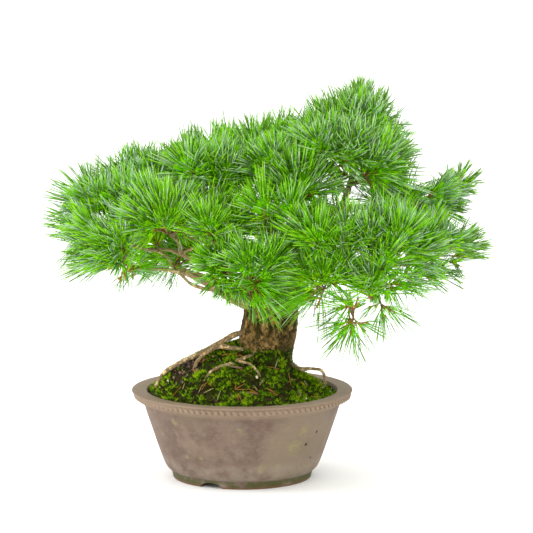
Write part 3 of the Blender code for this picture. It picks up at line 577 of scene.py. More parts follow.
def stones(name, rows, colour):
    """Rounded, uneven stones: one is modelled, and the others are copies of its mesh, turned and scaled."""
    bpy.ops.mesh.primitive_ico_sphere_add(subdivisions=2, radius=1.0, location=(0.0, 0.0, 0.0))
    model = bpy.context.object
    bpy.ops.object.mode_set(mode="EDIT")
    bpy.ops.mesh.select_all(action="SELECT")
    bpy.ops.transform.vertex_random(offset=0.14, seed=4)
    bpy.ops.object.mode_set(mode="OBJECT")
    stack = []
    for place, size in rows:
        stone = model.copy()
        stone.data = model.data.copy()
        bpy.context.scene.collection.objects.link(stone)
        stone.location = place
        stone.rotation_euler = (draw.uniform(0, 6), draw.uniform(0, 6), draw.uniform(0, 6))
        stone.scale = (size, size * draw.uniform(0.7, 1.0), size * draw.uniform(0.6, 0.9))
        stack.append(stone)
    bpy.data.objects.remove(model, do_unlink=True)
    piece = join(name, stack)
    piece.data.shade_smooth()
    piece.data.materials.append(plain(name, colour, 0.8))
    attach(piece, "root")


stones("pale_pebbles", [(lay(x, y, size * 0.9), size) for x, y, size in PEBBLES], (0.620, 0.560, 0.330))
grains = {"dark": [], "brown": []}
for index in range(GRIT_GRAINS):
    x, y = draw.gauss(-0.080, 0.0085), draw.gauss(-0.026, 0.009)
    grains[draw.choice(("dark", "brown"))].append((lay(x, y, 0.0012), draw.uniform(0.0008, 0.0019)))
stones("dark_grit", grains["dark"], (0.060, 0.035, 0.030))
stones("brown_grit", grains["brown"], (0.200, 0.125, 0.080))


def strewn(name, places, length, radius, bow, colour):
    """Thin dry stalks lying on the moss, each from a place in a level way that follows the slope."""
    roots, ways, lengths, bends = [], [], [], []
    for (x, y), degrees, long in places:
        turn = math.radians(degrees)
        start = lay(x, y)
        end = lay(x + math.cos(turn) * long, y + math.sin(turn) * long)
        roots.append(start[:])
        ways.append((end - start).normalized()[:])
        lengths.append(long)
        bends.append((-math.sin(turn) * bow * long, math.cos(turn) * bow * long, 0.0))
    piece = blades(name, np.array(roots), np.array(ways), np.array(lengths), np.full(len(roots), radius),
                   np.array(bends), ((0.0, 0.7), (0.3, 1.0), (0.7, 0.9)))
    piece.data.materials.append(plain(name, colour, 0.6))
    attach(piece, "root")


def anywhere():
    radius, turn = 0.086 * math.sqrt(draw.random()), draw.uniform(0.0, math.tau)
    return POT_CENTRE.x + radius * math.cos(turn), radius * math.sin(turn)


pairs = [((-0.031, -0.077), 80.0, 0.015), ((-0.031, -0.077), 35.0, 0.018), ((-0.030, -0.049), -35.0, 0.024),
         ((-0.030, -0.077), 5.0, 0.016), ((0.022, -0.046), 60.0, 0.020), ((0.024, -0.048), 95.0, 0.018)]
for index in range(FALLEN_NEEDLES // 2):
    spot, degrees = anywhere(), draw.uniform(0.0, 360.0)
    pairs += [(spot, degrees, draw.uniform(0.006, 0.018)), (spot, degrees + draw.uniform(8, 30), draw.uniform(0.005, 0.015))]
strewn("fallen_needles", pairs, 0.02, 0.00042, 0.10, (0.420, 0.150, 0.030))
straws = [((-0.0627, -0.060), 242.0, 0.014), ((-0.0808, -0.049), 250.0, 0.010), ((-0.052, -0.071), 180.0, 0.012)]
straws += [(anywhere(), draw.uniform(0.0, 360.0), draw.uniform(0.005, 0.015)) for index in range(STRAWS)]
strewn("dry_straws", straws, 0.02, 0.00050, 0.06, (0.400, 0.330, 0.160))
bits = [((-0.026, -0.079), -2.0, 0.022), ((-0.060, 0.030), 120.0, 0.024), ((0.030, 0.040), 40.0, 0.020)]
bits += [(anywhere(), draw.uniform(0.0, 360.0), draw.uniform(0.007, 0.014)) for index in range(10)]
strewn("bits_of_twig", bits, 0.02, 0.00120, 0.08, (0.200, 0.130, 0.075))


# Trunk
# Old pine wood under rough, flaking grey-brown bark, thick for its height, with moss creeping up its foot.
# It leans right, bends over and turns up to the tip, and thins evenly all the way.

GROUND = 0.117
TRUNK_LINE = (
    (-0.0035, 0.000, GROUND, 0.0288), (-0.0018, 0.000, 0.128, 0.0275), (0.0030, 0.000, 0.154, 0.0270),
    (0.0068, 0.000, 0.176, 0.0250), (0.0145, 0.002, 0.199, 0.0205), (0.0205, 0.004, 0.221, 0.0165),
    (0.0265, 0.005, 0.243, 0.0125), (0.0365, 0.005, 0.259, 0.0095), (0.0510, 0.004, 0.267, 0.0072),
    (0.0660, 0.002, 0.269, 0.0050), (0.0760, 0.000, 0.275, 0.0036), (0.0800, 0.000, 0.287, 0.0030),
    (0.0850, 0.000, 0.302, 0.0027), (0.0905, 0.000, 0.320, 0.0024), (0.0925, 0.000, 0.333, 0.0021),
)
TRUNK_STEPS = 22
BARK_PLATE = 0.0056
BARK_RELIEF = 0.0019


def smooth_line(places, steps):
    """Points on a smooth curve that passes through all the places, with any further numbers blended too."""
    knots = [Vector(place) for place in places]
    knots = [knots[0] * 2 - knots[1], *knots, knots[-1] * 2 - knots[-2]]
    line = []
    for index in range(1, len(knots) - 2):
        a, b, c, d = knots[index - 1:index + 3]
        for step in range(steps):
            t = step / steps
            line.append(0.5 * (2 * b + (c - a) * t + (2 * a - 5 * b + 4 * c - d) * t * t
                               + (3 * b - a - 3 * c + d) * t ** 3))
    line.append(knots[-2])
    return line


def limb(name, line, radii, sides):
    """A round limb: a path with a radius at each point, given a bevel, filled ends, and made a mesh."""
    bpy.ops.object.select_all(action="DESELECT")
    bpy.ops.curve.primitive_nurbs_path_add()
    piece = bpy.context.object
    piece.name = name
    curve = piece.data
    curve.splines.clear()
    spline = curve.splines.new("POLY")
    spline.points.add(len(line) - 1)
    for point, place, radius in zip(spline.points, line, radii):
        point.co = (*place[:3], 1.0)
        point.radius = radius
    curve.twist_mode = "MINIMUM"
    curve.bevel_depth = 1.0
    curve.bevel_resolution = sides // 2 - 2
    curve.use_fill_caps = True
    bpy.ops.object.convert(target="MESH")
    piece = bpy.context.object
    bpy.ops.object.mode_set(mode="EDIT")
    bpy.ops.mesh.select_all(action="SELECT")
    bpy.ops.mesh.remove_doubles(threshold=0.00001)
    bpy.ops.mesh.normals_make_consistent(inside=False)
    bpy.ops.object.mode_set(mode="OBJECT")
    return piece


def add_bark(piece, plate, relief):
    """Raise bark plates with cracks between them, and keep each point's depth for the bark's colour, which paints shade
    into the deepest points.
    """
    before = np.zeros(len(piece.data.vertices) * 3, np.float32)
    normals = np.zeros_like(before)
    piece.data.vertices.foreach_get("co", before)
    piece.data.vertices.foreach_get("normal", normals)
    bpy.ops.object.empty_add(location=(0.0, 0.0, 0.0))
    grain = bpy.context.object
    grain.scale = (1.0, 1.0, 1.7)
    bpy.context.view_layer.update()
    plates = bpy.data.textures.new("bark_plates", "VORONOI")
    plates.noise_scale = plate
    plates.weight_1 = -1.0
    plates.weight_2 = 1.0
    plates.intensity = 1.2
    flakes = bpy.data.textures.new("bark_flakes", "CLOUDS")
    flakes.noise_scale = plate * 0.42
    flakes.noise_depth = 3
    knots = bpy.data.textures.new("bark_swellings", "CLOUDS")
    knots.noise_scale = plate * 2.6
    for texture, strength, middle in ((plates, relief, 0.35), (flakes, relief * 0.8, 0.5), (knots, relief * 1.2, 0.5)):
        modifier = piece.modifiers.new("bark", "DISPLACE")
        modifier.texture = texture
        modifier.texture_coords = "OBJECT"
        modifier.texture_coords_object = grain
        modifier.strength = strength
        modifier.mid_level = middle
        bpy.context.view_layer.objects.active = piece
        bpy.ops.object.modifier_apply(modifier=modifier.name)
    bpy.data.objects.remove(grain, do_unlink=True)
    after = np.zeros_like(before)
    piece.data.vertices.foreach_get("co", after)
    depth = ((after - before).reshape(-1, 3) * normals.reshape(-1, 3)).sum(1) / relief
    piece.data.attributes.new("relief", "FLOAT", "POINT").data.foreach_set("value", depth.astype(np.float32))
    piece.data.shade_smooth()


def bark(name, light, dark, mossy, scale=1.0):
    """Bark in flaking plates: pale scales, brown plates, dark cracks between them and in the hollows, and painted shade
    where the relief sinks deepest.
    """
    wood = Recipe(name, 0.9)
    wood.shader.inputs["Specular IOR Level"].default_value = 0.12
    depth = wood.add("ShaderNodeAttribute", attribute_name="relief").outputs["Fac"]
    upright = wood.warped((1.0, 1.0, 0.62), 30.0, 0.010)
    tint = wood.step(wood.noise(150.0 / scale, 6.0, 0.7, upright), 0.36, 0.62)
    plate = wood.mix(tint, tuple(part * 0.52 for part in light), light)
    flake = wood.step(wood.noise(300.0 / scale, 5.0, 0.65, upright), 0.56, 0.66, 0.0, 0.8)
    plate = wood.mix(flake, plate, tuple(part * 1.55 for part in light))
    warm = wood.step(wood.noise(60.0 / scale, 3.0), 0.52, 0.66, 0.0, 0.6)
    plate = wood.mix(warm, plate, (light[0] * 0.92, light[1] * 0.66, light[2] * 0.45))
    seam = wood.sum(wood.edges(230.0 / scale, upright), wood.step(wood.noise(80.0 / scale, 4.0), 0.40, 0.62, 0.0, 0.16))
    hollow = wood.step(wood.noise(135.0 / scale, 6.0, 0.75, upright), 0.43, 0.54)
    crack_and_shade = wood.sum(wood.step(seam, 0.02, 0.14), hollow, "MULTIPLY")
    # Where the relief sinks deepest the bark is painted dark as well: painted shade in the recesses, on top of the
    # bark's own dark cracks.
    crack_and_shade = wood.sum(crack_and_shade, wood.step(depth, -0.60, 0.20), "MULTIPLY")
    base = wood.mix(crack_and_shade, dark, plate)
    if mossy:
        olive = wood.step(wood.noise(45.0, 4.0), 0.46, 0.66, 0.0, 0.48)
        base = wood.mix(olive, base, (0.076, 0.065, 0.014))
        low = wood.step(wood.height(), 0.138, 0.124)
        patch = wood.sum(low, wood.step(wood.noise(110.0, 4.0), 0.42, 0.56), "MULTIPLY")
        base = wood.mix(patch, base, (0.045, 0.070, 0.008))
        # The upper trunk is painted lighter, towards the boughs' colour: partly the thinner bark's paler colour, partly
        # painted light where the crown shades it.
        thin = wood.step(wood.height(), 0.215, 0.262, 0.0, 0.7)
        base = wood.mix(thin, base, (0.420, 0.310, 0.170))
    wood.colour(base)
    grain = wood.sum(wood.noise(700.0, 6.0, 0.75, upright), wood.sum(crack_and_shade, 1.4, "MULTIPLY"))
    wood.bump(grain, 0.0010, 0.9)
    return wood.paint


trunk_rows = smooth_line(TRUNK_LINE, TRUNK_STEPS)
trunk_line = [Vector(row[:3]) for row in trunk_rows]
trunk_line[0] -= Vector((0.0, 0.0, 0.004))
trunk = limb("barked_trunk", trunk_line, [row[3] * 1.03 for row in trunk_rows], 152)
add_bark(trunk, BARK_PLATE, BARK_RELIEF)
trunk.data.materials.append(bark("trunk_bark", (0.400, 0.238, 0.080), (0.026, 0.020, 0.003), True))
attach(trunk, "root")
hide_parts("trunk")


# Boughs
# Each is one live branch, wired outwards and down when young, that leaves the trunk with a thick collar and
# tapers to its tip. Their bark is thinner and smoother than the trunk's.

BOUGH_TAPER = 2.2
BOUGHS = {
    "bough_left_low": ("trunk", 0.0108, 0.0017, (
        (-0.003, -0.002, 0.1745), (-0.029, -0.004, 0.1812), (-0.053, -0.008, 0.1945),
        (-0.078, -0.012, 0.207), (-0.103, -0.018, 0.213), (-0.125, -0.022, 0.215))),
    "bough_left_high": ("trunk", 0.0052, 0.0017, (
        (0.006, 0.004, 0.187), (-0.027, 0.006, 0.201), (-0.052, 0.006, 0.209), (-0.077, 0.004, 0.221),
        (-0.097, 0.004, 0.229), (-0.120, 0.008, 0.229), (-0.135, 0.010, 0.234))),
    "bough_left_front": ("bough_left_high", 0.0024, 0.0016, (
        (-0.086, 0.003, 0.226), (-0.087, -0.010, 0.238), (-0.092, -0.024, 0.246))),
    "bough_left_top": ("trunk", 0.0060, 0.0018, (
        (0.020, 0.006, 0.225), (-0.027, 0.014, 0.232), (-0.062, 0.018, 0.236),
        (-0.082, 0.022, 0.245), (-0.102, 0.028, 0.262))),
    "bough_left_back": ("trunk", 0.0065, 0.0018, (
        (0.004, 0.008, 0.180), (-0.032, 0.030, 0.188), (-0.067, 0.048, 0.197), (-0.090, 0.058, 0.203))),
    "bough_centre_left": ("trunk", 0.0050, 0.0018, (
        (0.009, -0.005, 0.194), (-0.014, -0.028, 0.210), (-0.031, -0.039, 0.221))),
    "bough_upper_left": ("trunk", 0.0060, 0.0020, (
        (0.024, 0.005, 0.236), (-0.004, 0.000, 0.252), (-0.031, -0.002, 0.265), (-0.047, -0.003, 0.273))),
    "bough_upper_left_back": ("trunk", 0.0055, 0.0018, (
        (0.023, 0.008, 0.229), (-0.005, 0.035, 0.250), (-0.035, 0.060, 0.265), (-0.051, 0.072, 0.271))),
    "bough_front": ("trunk", 0.0055, 0.0020, (
        (0.007, -0.005, 0.180), (-0.002, -0.035, 0.192), (-0.007, -0.056, 0.202))),
    "bough_centre": ("trunk", 0.0045, 0.0018, (
        (0.022, 0.000, 0.231), (0.021, -0.022, 0.237), (0.019, -0.040, 0.242))),
    "bough_upper_centre": ("trunk", 0.0045, 0.0020, (
        (0.031, 0.005, 0.253), (0.026, -0.008, 0.264), (0.026, -0.014, 0.275))),
    "bough_upper_centre_back": ("trunk", 0.0045, 0.0018, (
        (0.036, 0.006, 0.257), (0.024, 0.036, 0.268), (0.015, 0.062, 0.276))),
    "bough_apex_left": ("trunk", 0.0032, 0.0017, (
        (0.080, 0.000, 0.287), (0.073, -0.010, 0.296), (0.068, -0.017, 0.304))),
    "bough_apex_right": ("trunk", 0.0034, 0.0018, (
        (0.083, 0.000, 0.296), (0.090, -0.012, 0.299), (0.096, -0.020, 0.303))),
    "bough_apex_back": ("trunk", 0.0032, 0.0017, (
        (0.086, 0.000, 0.306), (0.085, 0.028, 0.312), (0.083, 0.048, 0.318))),
    "bough_right_high": ("trunk", 0.0042, 0.0018, (
        (0.072, 0.001, 0.272), (0.094, 0.010, 0.271), (0.114, 0.013, 0.275), (0.132, 0.015, 0.275))),
    "bough_right_low": ("trunk", 0.0085, 0.0020, (
        (0.021, 0.002, 0.222), (0.063, -0.004, 0.221), (0.103, -0.012, 0.219),
        (0.138, -0.018, 0.218), (0.153, -0.020, 0.221))),
    "bough_front_right": ("bough_right_low", 0.0042, 0.0018, (
        (0.076, -0.007, 0.2205), (0.094, -0.038, 0.218), (0.108, -0.058, 0.219))),
    "bough_front_mid": ("trunk", 0.0055, 0.0018, (
        (0.017, -0.004, 0.207), (0.038, -0.038, 0.211), (0.055, -0.056, 0.212))),
    "bough_droop_left": ("bough_front_mid", 0.0018, 0.0010, (
        (0.047, -0.047, 0.211), (0.067, -0.051, 0.203), (0.080, -0.054, 0.191))),
    "bough_droop_right": ("bough_right_low", 0.0018, 0.0010, (
        (0.098, -0.011, 0.219), (0.105, -0.027, 0.206), (0.110, -0.038, 0.193))),
    "bough_right_back": ("trunk", 0.0055, 0.0018, (
        (0.024, 0.005, 0.235), (0.062, 0.035, 0.238), (0.103, 0.062, 0.242), (0.122, 0.074, 0.245))),
    "bough_right_low_back": ("trunk", 0.0060, 0.0018, (
        (0.017, 0.006, 0.204), (0.047, 0.042, 0.207), (0.068, 0.070, 0.207))),
    "bough_back": ("trunk", 0.0065, 0.0018, (
        (0.010, 0.006, 0.190), (-0.005, 0.048, 0.198), (-0.014, 0.072, 0.203))),
}


def bough_line(name, spacing=0.0016):
    parent, thick, thin, places = BOUGHS[name]
    span = sum((Vector(b) - Vector(a)).length for a, b in zip(places, places[1:]))
    line = smooth_line(places, max(3, round(span / spacing / (len(places) - 1))))
    last = len(line) - 1
    return line, [thin + (thick - thin) * (1 - index / last) ** BOUGH_TAPER for index in range(last + 1)]


# Bare branchlets under the left side: one runs beside its bough and meets it again, the others are side shoots
BRANCHLETS = {
    "loop": (0.0020, 0.0016, (
        (-0.036, -0.008, 0.1870), (-0.0444, -0.008, 0.1890), (-0.0534, -0.008, 0.1900), (-0.0614, -0.008, 0.1915),
        (-0.0704, -0.009, 0.1945), (-0.0764, -0.010, 0.1975), (-0.0823, -0.011, 0.2036), (-0.0873, -0.013, 0.2085))),
    "link": (0.0018, 0.0015, (
        (-0.1110, 0.002, 0.2290), (-0.1024, -0.002, 0.2259), (-0.0974, -0.006, 0.2209), (-0.0914, -0.012, 0.2120))),
    "fork": (0.0022, 0.0012, (
        (-0.0820, 0.004, 0.2235), (-0.0850, 0.004, 0.2290), (-0.0870, 0.002, 0.2352), (-0.0920, 0.000, 0.2412),
        (-0.0975, -0.003, 0.2473))),
    "spur": (0.0018, 0.0010, (
        (-0.0830, 0.004, 0.2270), (-0.0765, 0.002, 0.2301), (-0.0695, -0.002, 0.2325), (-0.0600, -0.006, 0.2330))),
}
boughs = []
for name in BOUGHS:
    line, radii = bough_line(name)
    boughs.append(limb(name + "_wood", line, radii, 24 if radii[0] > 0.005 else 16))
for name, (thick, thin, places) in BRANCHLETS.items():
    line = smooth_line(places, 6)
    last = len(line) - 1
    boughs.append(limb(name + "_wood", line, [thick + (thin - thick) * index / last for index in range(last + 1)], 14))
boughs = join("barked_boughs", boughs)
add_bark(boughs, 0.0048, 0.0009)
# The boughs' bark is painted far lighter than bark is: painted light that stands in for the light the crown keeps off
# them.
bough_bark = bark("bough_bark", (0.880, 0.720, 0.350), (0.400, 0.300, 0.140), False, 0.6)
boughs.data.materials.append(bough_bark)
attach(boughs, "root")
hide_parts(*BOUGHS)


# Surface roots
# Old roots that were uncovered to show, pale brown where the bark has worn. They leave the foot of the trunk,
# arch over the moss and dive back into it.

ROOTS = {
    "root_left": (0.0032, 0.0019, (
        (-0.018, -0.008, 0.1482), (-0.0305, -0.010, 0.1460), (-0.0394, -0.0135, 0.1420), (-0.0479, -0.0165, 0.1375),
        (-0.0594, -0.020, 0.1320), (-0.0694, -0.0225, 0.1274), (-0.0830, -0.0255, 0.1216), (-0.0951, -0.028, 0.1154),
        (-0.1022, -0.030, 0.1102), (-0.1070, -0.031, 0.1035), (-0.1105, -0.031, 0.0960))),
    "root_left_front": (0.0030, 0.0018, (
        (-0.0200, -0.016, 0.1300), (-0.0334, -0.021, 0.1335), (-0.0403, -0.0205, 0.1350), (-0.0482, -0.0205, 0.1354),
        (-0.0552, -0.0235, 0.1327), (-0.0611, -0.0255, 0.1292), (-0.0660, -0.0275, 0.1250), (-0.0700, -0.030, 0.1202),
        (-0.0730, -0.033, 0.1130))),
    "root_front_left": (0.0023, 0.0014, (
        (-0.0220, -0.036, 0.1150), (-0.0290, -0.040, 0.1192), (-0.0342, -0.044, 0.1216), (-0.0421, -0.045, 0.1204),
        (-0.0500, -0.047, 0.1178), (-0.0569, -0.050, 0.1135), (-0.0620, -0.054, 0.1060))),
    "root_front": (0.0019, 0.0011, (
        (-0.0130, -0.026, 0.1280), (-0.0233, -0.037, 0.1262), (-0.0290, -0.040, 0.1248), (-0.0233, -0.044, 0.1238),
        (-0.0164, -0.046, 0.1222), (-0.0094, -0.053, 0.1168), (-0.0060, -0.057, 0.1110))),
    "root_right": (0.0022, 0.0014, (
        (0.0226, -0.004, 0.1150), (0.0295, -0.008, 0.1120), (0.0366, -0.010, 0.1108), (0.0444, -0.011, 0.1112),
        (0.0524, -0.012, 0.1106), (0.0562, -0.012, 0.1082), (0.0579, -0.013, 0.1036), (0.0584, -0.013, 0.0950))),
    "root_back": (0.0034, 0.0018, (
        (0.004, 0.018, 0.132), (0.006, 0.042, 0.124), (-0.004, 0.064, 0.111), (-0.018, 0.078, 0.098))),
}
roots = []
for name, (thick, thin, places) in ROOTS.items():
    line = smooth_line(places, 8)
    last = len(line) - 1
    roots.append(limb(name + "_wood", line, [thick + (thin - thick) * index / last for index in range(last + 1)], 18))
roots = join("surface_roots", roots)
add_bark(roots, 0.0052, 0.0010)
roots.data.materials.append(bark("root_bark", (0.950, 0.710, 0.380), (0.260, 0.180, 0.085), False, 0.7))
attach(roots, "root")
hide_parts(*ROOTS)


# Shoots
# From each bough's tip a stem runs on to a hub, and thin twigs spread from it: first the leading ones, which
# carry the outline, then others on a spiral. Every twig ends in this year's shoot, brown and scaly.

MILLIMETRE = 0.001
REACH = Vector((0.2290, 0.1505, 0.4062))
SHOOT_APART = 0.0125
SHOOT_LIFT = 0.35
TOP_RISE = 0.9
RISE_SPAN = 1.2
TRIALS = 90
LEAN_LIMIT = -0.25
NEEDLE = 0.050
GOLDEN_TURN = math.radians(137.5)
TWIG_SAG = 0.18
WALL_OVERLAP = 0.012
SHOOT_LENGTH = 0.012
FULL_SHEATHS = 30
FULLER = 0.9
FEWER_IN_FRONT = 0.45
MASSES = {
    "needles_left_high": (
        "bough_left_high", (-0.152, 0.014, 0.252), (0.032, 0.046, 0.022), (-0.5, 0.2, 0.2), 7),
    "needles_left_low": (
        "bough_left_low", (-0.146, -0.028, 0.222), (0.034, 0.028, 0.024), (-0.7, -0.2, -0.1), 7),
    "needles_left_top": (
        "bough_left_top", (-0.112, 0.030, 0.276), (0.036, 0.030, 0.024), (-0.2, 0.2, 0.5), 6),
    "needles_left_front": (
        "bough_left_front", (-0.096, -0.034, 0.251), (0.034, 0.032, 0.016), (0.0, -0.6, 0.3), 6),
    "needles_left_back": (
        "bough_left_back", (-0.102, 0.060, 0.207), (0.038, 0.034, 0.022), (-0.5, 0.5, -0.1), 5),
    "needles_centre_left": (
        "bough_centre_left", (-0.044, -0.050, 0.230), (0.034, 0.036, 0.026), (-0.1, -0.6, 0.2), 7),
    "needles_upper_left": (
        "bough_upper_left", (-0.056, -0.006, 0.281), (0.040, 0.038, 0.034), (-0.1, -0.2, 0.6), 7),
    "needles_upper_left_back": (
        "bough_upper_left_back", (-0.058, 0.072, 0.274), (0.042, 0.032, 0.028), (-0.3, 0.5, 0.4), 5),
    "needles_front": (
        "bough_front", (-0.008, -0.070, 0.206), (0.038, 0.028, 0.022), (0.0, -0.7, 0.0), 7),
    "needles_centre": (
        "bough_centre", (0.019, -0.055, 0.247), (0.034, 0.034, 0.022), (0.0, -0.6, 0.4), 7),
    "needles_upper_centre": (
        "bough_upper_centre", (0.018, -0.020, 0.287), (0.042, 0.034, 0.034), (0.0, -0.3, 0.6), 8),
    "needles_upper_centre_back": (
        "bough_upper_centre_back", (0.011, 0.066, 0.280), (0.038, 0.034, 0.034), (0.0, 0.5, 0.5), 5),
    "needles_apex": (
        "trunk", (0.093, 0.000, 0.348), (0.030, 0.032, 0.011), (0.0, 0.0, 0.7), 6),
    "needles_apex_left": (
        "bough_apex_left", (0.061, -0.025, 0.313), (0.032, 0.036, 0.020), (-0.3, -0.5, 0.3), 7),
    "needles_apex_right": (
        "bough_apex_right", (0.101, -0.028, 0.306), (0.024, 0.032, 0.018), (0.5, -0.4, 0.3), 6),
    "needles_apex_back": (
        "bough_apex_back", (0.081, 0.054, 0.320), (0.034, 0.030, 0.022), (0.1, 0.6, 0.3), 5),
    "needles_right_high": (
        "bough_right_high", (0.144, 0.014, 0.273), (0.032, 0.040, 0.016), (0.6, 0.1, 0.3), 7),
    "needles_right_low": (
        "bough_right_low", (0.164, -0.022, 0.225), (0.028, 0.036, 0.018), (0.7, -0.1, 0.0), 6),
    "needles_front_right": (
        "bough_front_right", (0.118, -0.072, 0.221), (0.038, 0.030, 0.028), (0.2, -0.6, 0.3), 8),
    "needles_front_mid": (
        "bough_front_mid", (0.060, -0.070, 0.217), (0.038, 0.030, 0.030), (-0.1, -0.7, 0.2), 8),
    "needles_droop_left": (
        "bough_droop_left", (0.082, -0.056, 0.182), (0.014, 0.014, 0.012), (0.0, -0.1, -0.9), 0),
    "needles_droop_right": (
        "bough_droop_right", (0.112, -0.043, 0.184), (0.014, 0.012, 0.010), (0.4, -0.2, -0.8), 0),
    "needles_right_back": (
        "bough_right_back", (0.136, 0.076, 0.245), (0.042, 0.034, 0.026), (0.5, 0.5, 0.2), 6),
    "needles_right_low_back": (
        "bough_right_low_back", (0.078, 0.074, 0.207), (0.040, 0.034, 0.024), (0.2, 0.6, 0.0), 5),
    "needles_back": (
        "bough_back", (-0.019, 0.076, 0.205), (0.040, 0.034, 0.024), (-0.1, 0.6, 0.0), 5),
}

